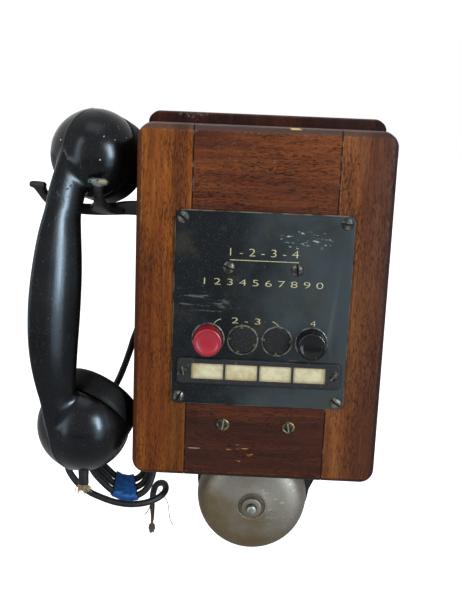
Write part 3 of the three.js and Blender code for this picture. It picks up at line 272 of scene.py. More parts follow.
def finished(node, finish, body, bevel=0.4, segments=2):
    """A CAD piece with its loose triangles merged and its edges eased by a bevel."""
    mesh = bmesh.new()
    mesh.from_mesh(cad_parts[node].data)
    bmesh.ops.remove_doubles(mesh, verts=mesh.verts, dist=1e-6)
    bmesh.ops.dissolve_limit(mesh, angle_limit=math.radians(0.5), verts=mesh.verts, edges=mesh.edges)
    bmesh.ops.scale(mesh, vec=(1000,) * 3, verts=mesh.verts)
    return made(node + "_finished", mesh, finish, body, bevel, segments, stands_for=(node,), turn=False)


def made(name, mesh, finish, body, bevel=0.0, segments=2, smooth=38, stands_for=(), turn=True):
    """Turns a shape in millimetres into a piece that rides on a body."""
    if turn:
        bmesh.ops.remove_doubles(mesh, verts=mesh.verts, dist=1e-4)
        bmesh.ops.recalc_face_normals(mesh, faces=mesh.faces)
    bmesh.ops.scale(mesh, vec=(0.001,) * 3, verts=mesh.verts)
    data = bpy.data.meshes.new(name)
    mesh.to_mesh(data)
    mesh.free()
    data.materials.append(finish.material)
    data.shade_smooth()
    data.set_sharp_from_angle(angle=math.radians(smooth))
    piece = placed(name, data)
    if bevel:
        ease = piece.modifiers.new("eased_edges", "BEVEL")
        ease.width, ease.segments = bevel * 0.001, segments
        ease.limit_method, ease.angle_limit = "ANGLE", math.radians(40)
        ease.harden_normals = True
    declared(piece, body, stands_for)
    return piece


def declared(piece, body, stands_for=()):
    """Hangs a piece on its body and hides the CAD nodes that it stands for."""
    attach(piece, body)
    if stands_for:
        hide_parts(*stands_for)


board = timber("dark_backboard", "Z", "1c0c07", "371910", "52281a", 0.5, 0.5, 5)
dust = board.noise(520, 4).between(0.50, 0.66) * board.spot(-48, 117, 13, 6, wander=0.6)
board.use(Base_Color=board.mix(dust * 0.55, board.colour, "8d8375"))
finished("backboard", board, "case", 1.3, 3)


# The case is a box of four mahogany boards, glued and varnished, between the backboard and the
# front. The left side is cut for the switch hook's arm and bored for the cord.
for name, along, light, shift, boards in (
    ("case_sides", "Z", "7f4128", 9, ("case_left_side", "case_right_side")),
    ("case_top_and_foot", "X", "7a3d25", 12, ("case_top", "case_bottom")),
):
    case_wood = timber(name, along, "2c120b", "5b2a19", light, 0.6, 0.42, shift)
    case_wood.use(Base_Color=case_wood.colour)
    for node in boards:
        finished(node, case_wood, "case", 0.5)


# The front is a mahogany plank laid level between two upright stiles, tongued and grooved, with a
# worn bevel all round. Light wood shows along its joints and arrises, and small knocks are dark.
FLAT_HALF_WIDTH, FLAT_HALF_HEIGHT = 0.0761, 0.11095
JOINT_X = 0.045


def front_wood(name, along, dark, middle, light, pores, shift):
    """The front's timber: a worn bevel with painted shade at its sides and painted light on top, and the dark
    line and rubbed edges of its two joints.
    """
    wood = timber(name, along, dark, middle, light, pores, 0.34, shift)
    x, z = wood.axis("X"), wood.axis("Z")
    arris = (abs(x) - FLAT_HALF_WIDTH).larger(abs(z) - FLAT_HALF_HEIGHT)
    patchy = wood.noise(230, 4, None, 0.0, 0.6)
    worn = (1 - abs(arris).between(0.0001, 0.0009)) * patchy.between(0.50, 0.66)
    bevel = arris.between(-0.0001, 0.0008)
    joint = 1 - abs(abs(x) - JOINT_X).between(0.0002, 0.0008)
    rubbed_and_sheen = joint * wood.noise(150, 3, None, 4.0).between(0.52, 0.66)
    # The side bevels are painted darker as shade, and the top bevel lighter and greyer as painted light.
    bevel_shade_and_light = wood.mix(z.between(0.108, 0.111), "2a1611", "4c403d")
    colour = wood.mix(bevel * 0.7, wood.colour, bevel_shade_and_light)
    colour = wood.mix(joint * 0.8, colour, (*shade(dark, 0.25), 1.0))
    colour = wood.mix(worn * 0.35, colour, "a07a55")
    wood.colour = wood.mix(rubbed_and_sheen * 0.5, colour, "a9a092")
    return wood, x, z


left_wood, x, z = front_wood("left_stile", "Z", "4a2006", "8e4e1a", "c0802a", 0.78, 1)
band = abs(x + 0.058 - left_wood.ribbon * 0.012).between(0.001, 0.009)
lower = left_wood.mix(0.5, left_wood.colour, "481c0a")
colour = left_wood.mix(z.between(-0.02, 0.10), lower, left_wood.colour)
left_wood.use(Base_Color=left_wood.mix((1 - band) * 0.5, colour, "2c120b"))
finished("front_left_stile", left_wood, "case", 0.25)

right_wood, x, z = front_wood("right_stile", "Z", "40200f", "7c4724", "aa6d38", 0.75, 7)
outward = (x + right_wood.ribbon * 0.01).between(0.054, 0.078)
knot = right_wood.spot(77.7, 80.2, 1.6, 3.4, wander=0.3)
colour = right_wood.mix((1 - z.between(0.03, 0.09)) * 0.2, right_wood.colour, "3a1c16")
colour = right_wood.mix(outward * 0.6, colour, "341a17")
right_wood.use(Base_Color=right_wood.mix(knot * 0.85, colour, "120806"))
finished("front_right_stile", right_wood, "case", 0.25)

plank_wood, x, z = front_wood("centre_plank", "X", "2b120a", "562a18", "7f451f", 0.8, 3)
y = plank_wood.axis("Y")
low = 1 - z.between(-0.085, -0.055)
scuffed = plank_wood.noise(600, 4, None, 2.0, 0.7).between(0.58, 0.70)
scuffed = scuffed * plank_wood.spot(-12, 98, 30, 11, wander=0.7)
gold = plank_wood.noise(600, 2, (0.2, 1, 1), 6).between(0.60, 0.68)
gold = gold * plank_wood.spot(-9, -97, 9, 6, wander=0.6)
ragged = (plank_wood.noise(420, 4, None, 5.0) - 0.5) * 0.007
chip = 1 - (abs(x - 0.0163) + ragged).between(0.0026, 0.0032)
chip = chip * (1 - (abs(y + 0.0832) + ragged).between(0.0040, 0.0046)) * z.between(0.1136, 0.1140)
scratch = plank_wood.spot(-39, -94.6, 4.4, 0.35, wander=0.1)
colour = plank_wood.mix(low * 0.5, plank_wood.colour, "2a1510")
colour = plank_wood.mix(scuffed * 0.4, colour, "8f8078")
colour = plank_wood.mix(gold * 0.8, colour, "c08a45")
colour = plank_wood.mix(chip, colour, "e3c878")
plank_wood.use(Base_Color=plank_wood.mix(scratch * 0.6, colour, "c8b8a8"))
finished("front_centre_panel", plank_wood, "case", 0.25)


# The button plate is steel with an oxidised blue-black finish, rubbed greenish brown where hands
# rest. It has round-edged holes for four buttons and engraved, paint-filled markings.
PLATE_FRONT = -88.0
PLATE_X = 0.0007
BUTTON_Z = -19.0
BUTTON_X = (-32.0, -10.2, 11.6, 33.4)
BUTTON_HOLES = (9.4, 8.9, 8.9, 9.4)
RING_LIPS = (0.5, 0.2, 0.2, 0.5)
PAINT_PROUD = 0.03
LINE_WIDTH = 0.42
LETTER_SIZE, LETTER_THINNED = 1.42, 0.022

plate = Finish("oxidised_plate", Metallic=0.1, Specular_IOR_Level=0.14)
x, z = plate.axis("X"), plate.axis("Z")
cloud = plate.noise(24, 5, None, 2.0, 0.6)
fine = plate.noise(420, 4, None, 0.0, 0.65)
speck = fine.between(0.66, 0.74)
# The plate is painted lighter towards the right and the bottom as a painted sheen, broken into cloudy rubbed
# patches.
rubbed_and_sheen = (cloud * 0.55 + x * 3.4 - z * 0.4).between(0.14, 0.46)
hatch = plate.noise(760, 3, (0.3, 1, 1), 1.0, 0.6).between(0.58, 0.64)
hatch = hatch * plate.spot(25, 47, 17, 6.5, wander=0.9)
powder = plate.noise(1700, 2, None, 9.0, 0.7).between(0.62, 0.70) * (1 - x.between(-0.035, 0.03))
brushed = plate.noise(500, 4, (0.12, 1, 1), 5.0, 0.6).between(0.54, 0.64)
brushed = brushed * plate.spot(-36, 4, 20, 7, wander=0.9)
orange = plate.spot(22.5, -31.2, 3.4, 0.4, wander=0.3)
edge = (abs(x - PLATE_X) - 0.0550).larger(abs(z) - 0.0625)
bright = edge.between(0.0, 0.0004) * plate.noise(90, 3).between(0.38, 0.58)
colour = plate.mix(rubbed_and_sheen * 0.85, "080d11", "394245")
for share, over in (
    (plate.noise(60, 4, None, 8.0).between(0.52, 0.72) * 0.4, "3d3a2e"), (speck * 0.5, "8f8f86"),
    (hatch * 0.75, "a3b0b6"), (powder * 0.35, "6d7678"), (brushed * 0.45, "757c7c"),
    (orange * 0.8, "8a4e24"), (bright * 0.7, "8c8878"),
):
    colour = plate.mix(share, colour, over)
plate.use(Base_Color=colour, Roughness=0.36 + cloud * 0.22 + speck * 0.2)
plate.relief(fine * 0.6 + hatch, 0.00005)
finished("button_plate", plate, "case", 0.25)


def turned(points, steps=56):
    """A shape spun about the Y axis from [radius, depth] points."""
    mesh = bmesh.new()
    rim = [mesh.verts.new((r, y, 0)) for r, y in points]
    edges = [mesh.edges.new(pair) for pair in zip(rim, rim[1:])]
    bmesh.ops.spin(mesh, geom=rim + edges, cent=(0, 0, 0), axis=(0, 1, 0), angle=2 * math.pi, steps=steps,
                   use_merge=True)
    bmesh.ops.remove_doubles(mesh, verts=mesh.verts, dist=1e-4)
    return mesh


def moved(mesh, *place):
    bmesh.ops.translate(mesh, vec=place, verts=mesh.verts)
    return mesh


def swung(mesh, degrees, axis):
    """A shape turned about an axis through the origin."""
    bmesh.ops.rotate(mesh, matrix=Matrix.Rotation(math.radians(degrees), 3, axis), verts=mesh.verts)
    return mesh


ring_finish = Finish("button_rings", Metallic=0.3)
ring_wear = ring_finish.noise(240, 3).between(0.42, 0.62)
ring_finish.use(Base_Color=ring_finish.mix(ring_wear * 0.8, "1d1f20", "77766c"),
                Roughness=0.5 - ring_wear * 0.2)
for number, (at, hole, lip) in enumerate(zip(BUTTON_X, BUTTON_HOLES, RING_LIPS), 1):
    crest = PLATE_FRONT - lip
    ring = turned([(hole, PLATE_FRONT + 1.5), (hole, crest + 0.05), (hole + 0.35, crest - 0.05),
                   (hole + 0.8, crest - 0.05), (hole + 1.25, PLATE_FRONT + 0.02),
                   (hole + 1.25, PLATE_FRONT + 1.5)], 72)
    made(f"button_ring_{number}", moved(ring, at, 0, BUTTON_Z), ring_finish, "case", smooth=60)

paint = Finish("marking_paint", Roughness=0.6)
paint.use(Base_Color=paint.mix(paint.noise(900, 3).between(0.45, 0.7) * 0.55, "c4bd8c", "6f6c4c"))


def worked_out(thing):
    """The mesh that a curve or a modified object comes to, in place of the object."""
    data = bpy.data.meshes.new_from_object(thing.evaluated_get(bpy.context.evaluated_depsgraph_get()))
    bpy.data.objects.remove(thing)
    mesh = bmesh.new()
    mesh.from_mesh(data)
    return mesh


def marking(name, mesh, x, z):
    """A flat shape as paint in the plate."""
    made(name, moved(mesh, x, PLATE_FRONT - PAINT_PROUD, z), paint, "case", turn=False)


def figures(name, text, left, right, foot, height):
    """Plain figures in the plate, spread between two sides."""
    letters = bpy.data.curves.new(name, "FONT")
    letters.body, letters.size, letters.offset = text, height * LETTER_SIZE, -LETTER_THINNED * height
    letters.resolution_u = 6
    mesh = worked_out(placed(name, letters))
    low, high = (pick(v.co.x for v in mesh.verts) for pick in (min, max))
    moved(mesh, -low, 0, 0)
    bmesh.ops.scale(mesh, vec=((right - left) / (high - low), 1, 1), verts=mesh.verts)
    marking(name, swung(mesh, 90, "X"), left, foot)


def ruled(name, start, end):
    """A straight engraved line between two points of the plate, as X and Z."""
    mesh = bmesh.new()
    bmesh.ops.create_grid(mesh, x_segments=1, y_segments=1, size=0.5)
    run = Vector(end) - Vector(start)
    bmesh.ops.scale(mesh, vec=(run.length, LINE_WIDTH, 1), verts=mesh.verts)
    swung(mesh, math.degrees(math.atan2(run.y, run.x)), "Z")
    marking(name, swung(mesh, 90, "X"), *((Vector(start) + Vector(end)) / 2))


def bowed(name, centre, radius, start, sweep):
    """An engraved arc, spun from one short edge by its sweep in degrees."""
    mesh = bmesh.new()
    first = Vector((math.cos(math.radians(start)), 0, math.sin(math.radians(start))))
    ends = [mesh.verts.new(first * r) for r in (radius - LINE_WIDTH / 2, radius + LINE_WIDTH / 2)]
    bmesh.ops.spin(mesh, geom=ends + [mesh.edges.new(ends)], cent=(0, 0, 0), axis=(0, -1, 0),
                   angle=math.radians(sweep), steps=12)
    bmesh.ops.recalc_face_normals(mesh, faces=mesh.faces)
    marking(name, mesh, *centre)


figures("title_figures", "1 - 2 - 3 - 4", -20.3, 22.4, 35.4, 5.0)
ruled("title_line", (-20.1, 32.7), (22.6, 32.7))
figures("lower_figures", "1 2 3 4 5 6 7 8 9 0", -35.9, 38.6, 16.5, 4.2)
figures("middle_figures", "2 - 3", -17.5, 0.5, -8.2, 3.9)
figures("end_figure", "4", 32.0, 35.4, -8.0, 3.9)
bowed("left_arc", (-22.4, -12.6), 7.2, 105, 58)
bowed("right_arc", (6.2, -13.2), 7.4, 75, -52)


# Six round-headed slotted screws hold the plate, each turned to its own angle when it was driven
# home. They are steel, darkened with the plate and rubbed lighter on their domes.
PLATE_SCREW_R, PLATE_SCREW_DOME = 3.85, 1.9
# A slot's half width is a share of the head's radius, and its floor a share of the dome's height.
SLOT_HALF_WIDTH, SLOT_FLOOR = 0.15, 0.2

screw_steel = Finish("darkened_screws", Metallic=0.4, Specular_IOR_Level=0.3)
rub = screw_steel.noise(330, 4).between(0.40, 0.66)
# The slot's floor is painted near black here, as painted shade in the slot.
in_slot = screw_steel.add("Attribute", {"attribute_name": "in_slot"}, out="Fac")
colour = screw_steel.mix(rub, "1f2122", "6a675b")
screw_steel.use(Base_Color=screw_steel.mix(in_slot, colour, "060606"), Roughness=0.56 - rub * 0.14)
screw_steel.relief(screw_steel.noise(900, 3), 0.00004)


def only(kind, geometry):
    """The parts of one kind, such as the points, among those that an operator gives back."""
    return [part for part in geometry if isinstance(part, kind)]


def round_head(node, radius, height, slot_turn, finish):
    """A slotted round-headed screw in place of the CAD piece of that name."""
    low, high = (c * 1000 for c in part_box(node))
    middle = (low + high) / 2
    arc = [(radius * math.sin(a), -height * math.cos(a)) for a in (i * math.pi / 20 for i in range(11))]
    head = turned([*arc, (radius, 0.1), (0, 0.1)], 40)
    # The points of the slot's floor are marked, so that a finish can paint shade or a reflection there.
    in_slot = head.verts.layers.float.new("in_slot")
    half_slot, slot_floor = SLOT_HALF_WIDTH * radius, -SLOT_FLOOR * height
    for side in (-half_slot, half_slot):
        bmesh.ops.bisect_plane(head, geom=head.verts[:] + head.edges[:] + head.faces[:], dist=1e-5,
                               plane_co=(0, 0, side), plane_no=(0, 0, 1))
    middles = [(face, face.calc_center_median()) for face in head.faces]
    slot = [face for face, at in middles if abs(at.z) < half_slot and at.y < slot_floor]
    sunk = bmesh.ops.extrude_face_region(head, geom=slot)["geom"]
    bmesh.ops.delete(head, geom=slot, context="FACES")
    for v in only(bmesh.types.BMVert, sunk):
        v.co.y = slot_floor
        v[in_slot] = 1.0
    swung(head, slot_turn, "Y")
    made(node + "_head", moved(head, middle.x, low.y + height, middle.z), finish, "case", bevel=0.1,
         stands_for=(node,), smooth=32)


for node, slot_turn in (("plate_screw_1", 40), ("plate_screw_2", 5), ("plate_screw_3", 120),
                        ("plate_screw_4", 35), ("plate_mid_screw_1", 20), ("plate_mid_screw_2", 85)):
    round_head(node, PLATE_SCREW_R, PLATE_SCREW_DOME, slot_turn, screw_steel)


# The label strip is a black painted frame with four windows over one ivory card. Small blackened
# screws hold it at both ends.
LABEL_Z = -0.0403
LABEL_SCREW_R, LABEL_SCREW_DOME = 2.6, 1.1

frame_paint = Finish("frame_paint", Specular_IOR_Level=0.25)
chipped = frame_paint.noise(330, 4).between(0.60, 0.72)
frame_paint.use(Base_Color=frame_paint.mix(chipped * 0.6, "161719", "55534b"),
                Roughness=0.42 + frame_paint.noise(120, 3) * 0.2)
frame_paint.relief(frame_paint.noise(800, 3), 0.00003)
finished("label_frame", frame_paint, "case", 0.3, 3)

card = Finish("aged_card", Roughness=0.75)
x, z = card.axis("X"), card.axis("Z")
stain = card.noise(130, 5, None, 3.0, 0.65)
fleck = card.noise(1500, 3, None, 1.0, 0.6).between(0.62, 0.72)
# The card is painted darker along its edges.
edge_darkening = (abs(x - PLATE_X) - 0.0395).larger(abs(z - LABEL_Z) - 0.0038).between(-0.0008, 0.0014)
colour = card.mix(stain.between(0.35, 0.7), "d6d0ab", "b9a878")
colour = card.mix(fleck * 0.45, colour, "8b7a55")
card.use(Base_Color=card.mix(edge_darkening * 0.5, colour, "a58e5e"))
card.relief(card.noise(1200, 4), 0.00004)
finished("label_card", card, "case", 0.1)

dark_screw = Finish("blackened_screws", Metallic=0.2, Specular_IOR_Level=0.2, Roughness=0.55)
# The slot's floor is painted light grey here, as a painted reflection in the slot.
in_slot = dark_screw.add("Attribute", {"attribute_name": "in_slot"}, out="Fac")
colour = dark_screw.mix(dark_screw.noise(700, 3).between(0.5, 0.75), "0b0c0c", "4a463c")
dark_screw.use(Base_Color=dark_screw.mix(in_slot, colour, "8d8877"))
for node, slot_turn in (("label_screw_1", 80), ("label_screw_2", 130)):
    round_head(node, LABEL_SCREW_R, LABEL_SCREW_DOME, slot_turn, dark_screw)


# The two buttons are moulded plastic with a raised rim round a dished face, one crimson and one
# black. Each slides in the plate on a collar and stem, against a coil spring.
CAP_FACE = PLATE_FRONT - 10.0
COLLAR_R, COLLAR_FRONT, COLLAR_BACK, STEM_BACK = 9.9, -85.7, -84.2, -70.0

crimson = Finish("crimson_plastic", Specular_IOR_Level=0.4)
y = crimson.axis("Y")
across, up = crimson.axis("X") * 1000 - BUTTON_X[0], crimson.axis("Z") * 1000 - BUTTON_Z
reach = (across * across + up * up) ** 0.5
cap_face = 1 - y.between(-0.0972, -0.0960)
ground_in = crimson.noise(650, 4).between(0.55, 0.72)
colour = crimson.mix(cap_face * (1 - reach.between(6.2, 7.6)) * 0.45, "980c22", "ac1f38")
colour = crimson.mix(1 - y.between(-0.0935, -0.0895), "7d0c1c", colour)
crimson.use(Base_Color=crimson.mix(ground_in * 0.2, colour, "6e0d1b"), Roughness=0.3 + ground_in * 0.1)

black = Finish("black_plastic", Specular_IOR_Level=0.25)
dusty = black.noise(700, 4).between(0.60, 0.74)
black.use(Base_Color=black.mix(dusty * 0.4, "08090a", "3c3b38"), Roughness=0.14 + dusty * 0.3)
black.relief(black.noise(500, 3), 0.00003)

for node, at, finish, body in (("red_button", BUTTON_X[0], crimson, "red_push"),
                               ("black_button", BUTTON_X[3], black, "black_push")):
    cap = turned([(0, CAP_FACE + 1.2), (2.6, CAP_FACE + 1.15), (5.0, CAP_FACE + 0.85), (6.6, CAP_FACE + 0.4),
                  (7.3, CAP_FACE + 0.06), (7.9, CAP_FACE), (8.5, CAP_FACE + 0.12), (8.95, CAP_FACE + 0.55),
                  (9.1, CAP_FACE + 1.2), (9.1, COLLAR_FRONT), (COLLAR_R, COLLAR_FRONT),
                  (COLLAR_R, COLLAR_BACK), (3, COLLAR_BACK), (3, STEM_BACK), (0, STEM_BACK)], 72)
    made(node + "_moulding", moved(cap, at, 0, BUTTON_Z), finish, body, bevel=0.15, stands_for=(node,),
         smooth=50)


# Two plugs fill the middle holes: black fibre discs, level with the plate, held by small brass
# lugs that show at their edges.
LUG_SIZE, LUG_PLACE = (1.5, 0.5, 1.7), (8.35, PLATE_FRONT - 0.2, 0)

fibre = Finish("black_fibre", Specular_IOR_Level=0.15)
grit = fibre.noise(1100, 4, None, 0.0, 0.7)
fibre.use(Base_Color=fibre.mix(grit.between(0.50, 0.75), "111112", "42413e"), Roughness=0.62 + grit * 0.15)
fibre.relief(grit, 0.00012)
lug_brass = Finish("lug_brass", Metallic=0.8)
lug_brass.use(Base_Color=lug_brass.mix(lug_brass.noise(900, 3).between(0.4, 0.7), "57502f", "26231a"),
              Roughness=0.4 + lug_brass.noise(500, 2) * 0.2)
for number, at, lugs in ((1, BUTTON_X[1], (95, 175, 250, 340)), (2, BUTTON_X[2], (175, 268, 2))):
    disc = turned([(0, -88.25), (7.6, -88.3), (8.3, -88.25), (8.6, PLATE_FRONT), (8.6, PLATE_FRONT + 2),
                   (COLLAR_R, PLATE_FRONT + 2), (COLLAR_R, COLLAR_BACK), (0, COLLAR_BACK)], 64)
    made(f"blank_plug_{number}_disc", moved(disc, at, 0, BUTTON_Z), fibre, "case",
         stands_for=(f"blank_plug_{number}",), smooth=50)
    for count, lug_turn in enumerate(lugs, 1):
        lug = bmesh.new()
        bmesh.ops.create_cube(lug, size=1)
        bmesh.ops.scale(lug, vec=LUG_SIZE, verts=lug.verts)
        swung(moved(lug, *LUG_PLACE), -lug_turn, "Y")
        made(f"plug_{number}_lug_{count}", moved(lug, at, 0, BUTTON_Z), lug_brass, "case", bevel=0.15)


# Below the plate two cup washers, pressed from brass and tarnished, sit on the plank. Each is held
# by a dark countersunk screw.
CUP_Z = -77.3
PLANK_FRONT = -86.0
CUP_SCREW_R, CUP_SCREW_DOME = 2.95, 0.62

brass = Finish("tarnished_brass", Metallic=0.85, Specular_IOR_Level=0.5)
tarnish = brass.noise(420, 5, None, 0.0, 0.65)
brass.use(Base_Color=brass.mix(tarnish.between(0.38, 0.66), "6a5c36", "1c170e"),
          Roughness=0.34 + tarnish * 0.25)
brass.relief(tarnish, 0.00006)
for number, at, slot_turn in ((1, -20.55, 98), (2, 21.95, 80)):
    cup = turned([(2.1, PLANK_FRONT - 0.2), (3.0, -87.05), (3.35, -87.2), (3.9, -87.1), (4.25, -86.6),
                  (4.4, PLANK_FRONT), (2.1, PLANK_FRONT), (2.1, PLANK_FRONT - 0.2)], 48)
    made(f"cup_washer_{number}_pressing", moved(cup, at, 0, CUP_Z), brass, "case",
         stands_for=(f"cup_washer_{number}",), smooth=60)
    round_head(f"cup_screw_{number}", CUP_SCREW_R, CUP_SCREW_DOME, slot_turn, dark_screw)


# The bell hangs below the case: a black japanned base on the tongue, a spun nickel-plated gong on
# a steel post, and a round nut in the gong's recess. A brass hammer strikes it from inside.
BELL_X, BELL_Z = 1.0, -149.6

finished("bell_base", frame_paint, "case", 0.5, 3)

nickel = Finish("tarnished_nickel", Metallic=0.65, Specular_IOR_Level=0.2)
x, z = nickel.axis("X"), nickel.axis("Z")
haze = nickel.noise(45, 6, None, 3.0, 0.62)
grain = nickel.noise(650, 5, None, 0.0, 0.7)
pits = nickel.noise(900, 2, None, 6.0).between(0.66, 0.73)
brown = (haze * 0.7 - z * 7.0 - 1.02 - x * 3.0).between(0.20, 0.62)
dragged = nickel.noise(800, 2, (0.2, 1, 0.7), 2.0).between(0.62, 0.72)
dragged = dragged * nickel.spot(22, -150, 20, 24, wander=0.6)
colour = nickel.mix(brown, "77726a", "5e5038")
colour = nickel.mix(grain.between(0.48, 0.72) * 0.45, colour, "5b5745")
colour = nickel.mix(pits * 0.7, colour, "33301f")
colour = nickel.mix(dragged * 0.3, colour, "b9b49c")
nickel.use(Base_Color=colour, Roughness=0.36 + haze * 0.12 + grain * 0.14 + pits * 0.2)
nickel.relief(grain * 0.5 - pits, 0.00006)

steel = Finish("plain_steel", Metallic=0.85, Specular_IOR_Level=0.5)
oily = steel.noise(300, 5, None, 0.0, 0.6)
steel.use(Base_Color=steel.mix(oily.between(0.4, 0.7), "8b8c86", "4d4c44"), Roughness=0.35 + oily * 0.2)
steel.relief(steel.noise(1100, 3), 0.00003)

gong = turned([(3.5, -53), (8.4, -53.0), (8.9, -53.2), (9.2, -53.75), (9.7, -54.0), (11.2, -53.58),
               (17, -52.7), (23.2, -51.9), (27, -51.0), (30.2, -49.8), (32.6, -48.4), (34.1, -47.28),
               (35.4, -45.7), (36.4, -43.92), (37.2, -41.8), (37.93, -38.88), (38.4, -36), (38.7, -33.4),
               (38.55, -33.0), (37.3, -33.0), (37.1, -33.4), (36.6, -37.4), (35.2, -42.4), (33.1, -45.7),
               (29.6, -48.2), (22.6, -50.3), (11, -51.9), (9.2, -51.4), (3.5, -51.4), (3.5, -53)], 128)
nut = turned([(3.5, -57), (5.9, -57), (6.6, -56.8), (7.0, -56.2), (7.0, -53.3), (3.5, -53.3), (3.5, -57)])
post = turned([(0, -61), (1.2, -61), (2.5, -60.95), (3.0, -60.7), (3.2, -60.2), (3.2, -51.1), (5, -51.1),
               (5, -30), (0, -30)], 40)
for name, mesh, finish, bevel, node in (("gong_dome", gong, nickel, 0.0, "gong"),
                                        ("gong_nut_turning", nut, nickel, 0.2, "gong_nut"),
                                        ("gong_post_stud", post, steel, 0.0, "gong_post")):
    made(name, moved(mesh, BELL_X, 0, BELL_Z), finish, "case", bevel, stands_for=(node,), smooth=50)


# The switch hook is one black iron casting: a bar on edge through the case side, with two horns that
# rise in front of it and end in lips. Its black is worn to the metal on the front horn's lip.
LEVEL, UPRIGHT = (0.95, -0.31, 0), (0, 0, 1)
ARM_END_X = -81
FRONT_LIP, FRONT_LIP_HALF = (-104.1, -76.6, 76.2), 6.9
REAR_LIP, REAR_LIP_HALF = (-146.3, -55.4, 69.4), 5.6

iron = Finish("black_iron", Specular_IOR_Level=0.25)
lumpy = iron.noise(240, 5, None, 0.0, 0.6)
lip_face = iron.spot(-104, 76.2, 7.4, 2.9, wander=0.25) * (1 - iron.axis("Y").between(-0.0770, -0.0740))
nicks = iron.noise(600, 3, None, 7.0).between(0.66, 0.74)
yellow = iron.spot(-101, 76.4, 2.4, 1.5, wander=0.9) * lip_face * 0.55
colour = iron.mix(lumpy.between(0.4, 0.7) * 0.5, "0b0c0d", "211f1e")
colour = iron.mix(nicks * 0.4, colour, "6b5b45")
colour = iron.mix(lip_face * iron.noise(500, 3).between(0.30, 0.46) * 0.8, colour, "646c69")
iron.use(Base_Color=iron.mix(yellow, colour, "947a50"), Roughness=0.34 + lumpy * 0.2,
         Metallic=lip_face * 0.6)
iron.relief(lumpy, 0.00015)


def drawn_through(section, places, capped=True):
    """A closed section drawn through a row of places, each a matrix, and capped at both ends."""
    mesh = bmesh.new()
    rim = [mesh.verts.new(places[0] @ p) for p in section]
    edges = [mesh.edges.new(pair) for pair in zip(rim, rim[1:] + rim[:1])]
    if capped:
        bmesh.ops.contextual_create(mesh, geom=edges)
    for before, place in zip(places, places[1:]):
        drawn = bmesh.ops.extrude_edge_only(mesh, edges=edges)["geom"]
        edges = only(bmesh.types.BMEdge, drawn)
        bmesh.ops.transform(mesh, matrix=place @ before.inverted(), verts=only(bmesh.types.BMVert, drawn))
    if capped:
        bmesh.ops.contextual_create(mesh, geom=edges)
    return mesh


def flowing(points, steps=5):
    """More points on a smooth line through the given ones."""
    line = []
    last = len(points) - 1
    for i in range(last):
        before, start, end, after = (points[min(max(i + step, 0), last)] for step in (-1, 0, 1, 2))
        bend = (start, start + (end - before) / 6, end - (after - start) / 6, end)
        line += interpolate_bezier(*bend, steps + 1)[:-1]
    return [*line, points[-1]]


def eased(mesh, verts, times):
    """Moves points halfway to the mean of their neighbours, a number of times."""
    for _ in range(times):
        bmesh.ops.smooth_vert(mesh, verts=verts, factor=0.5,
                              use_axis_x=True, use_axis_y=True, use_axis_z=True)


def joined(name, meshes, grain, smoothing):
    """Closed shapes made one by a fine remesh, then smoothed."""
    data = bpy.data.meshes.new(name)
    whole = bmesh.new()
    for mesh in meshes:
        bmesh.ops.recalc_face_normals(mesh, faces=mesh.faces)
        mesh.to_mesh(data)
        mesh.free()
        whole.from_mesh(data)
    whole.to_mesh(data)
    whole.free()
    lump = placed(name, data)
    knit = lump.modifiers.new("knit", "REMESH")
    knit.mode, knit.voxel_size = "VOXEL", grain
    result = worked_out(lump)
    eased(result, result.verts, smoothing)
    return result


def heading(line, i):
    """The direction of a line at one of its points."""
    return (line[min(i + 1, len(line) - 1)] - line[max(i - 1, 0)]).normalized()


def cast(stations, across):
    """A rounded bar through stations of X, Y, Z, half width and half thickness."""
    middles = flowing([Vector(s[:3]) for s in stations])
    sizes = flowing([Vector((*s[3:], 0)) for s in stations])
    places = []
    for i, (middle, size) in enumerate(zip(middles, sizes)):
        along = heading(middles, i)
        side = (Vector(across) - along * along.dot(Vector(across))).normalized()
        turn = Matrix((side * size.x, along.cross(side) * size.y, along)).transposed().to_4x4()
        places.append(Matrix.Translation(middle) @ turn)
    circle = [Vector((math.cos(a), math.sin(a), 0)) for a in (i * math.pi / 10 for i in range(20))]
    squarish = [p * (1 / max(abs(p.x), abs(p.y)) ** 0.6) for p in circle]
    return drawn_through(squarish, places)


def lip(centre, half):
    """The cast lip across the top of a horn, rounded off at both ends."""
    x, y, z = centre
    swell = ((-half, 1.2), (-half + 0.6, 1.9), (-half + 2.9, 2.25),
             (half - 2.9, 2.25), (half - 0.6, 1.9), (half, 1.2))
    return cast([(x + LEVEL[0] * out, y + LEVEL[1] * out, z, high, 2.1) for out, high in swell], UPRIGHT)


arm = bmesh.new()
arm.from_mesh(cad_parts["switch_hook"].data)
bmesh.ops.scale(arm, vec=(1000,) * 3, verts=arm.verts)
bmesh.ops.remove_doubles(arm, verts=arm.verts, dist=1e-3)
cut = bmesh.ops.bisect_plane(arm, geom=arm.verts[:] + arm.edges[:] + arm.faces[:], dist=1e-4,
                             plane_co=(ARM_END_X, 0, 0), plane_no=(-1, 0, 0), clear_outer=True)
bmesh.ops.holes_fill(arm, edges=only(bmesh.types.BMEdge, cut["geom_cut"]))
bar = cast([(-79, -56, 57, 4.9, 2.9), (-88, -56, 56.9, 4.6, 2.9), (-97, -56.3, 55.9, 4.1, 2.9),
            (-107, -56.6, 55.2, 3.8, 2.9), (-118, -56, 55, 3.5, 2.8), (-127, -54.4, 55.9, 3.2, 2.7),
            (-134, -53.6, 58.6, 3.0, 2.7)], UPRIGHT)
front_horn = cast([(-102.5, -56.5, 55.4, 13, 3.2), (-103.5, -61, 56.9, 8.6, 3.0),
                   (-104.2, -68, 61, 4.4, 2.6), (-104.6, -73, 66.5, 3.3, 2.3),
                   (-104.4, -75.8, 71.5, 3.2, 2.2), (-104.1, -76.3, 75.6, 4.6, 2.2)], LEVEL)
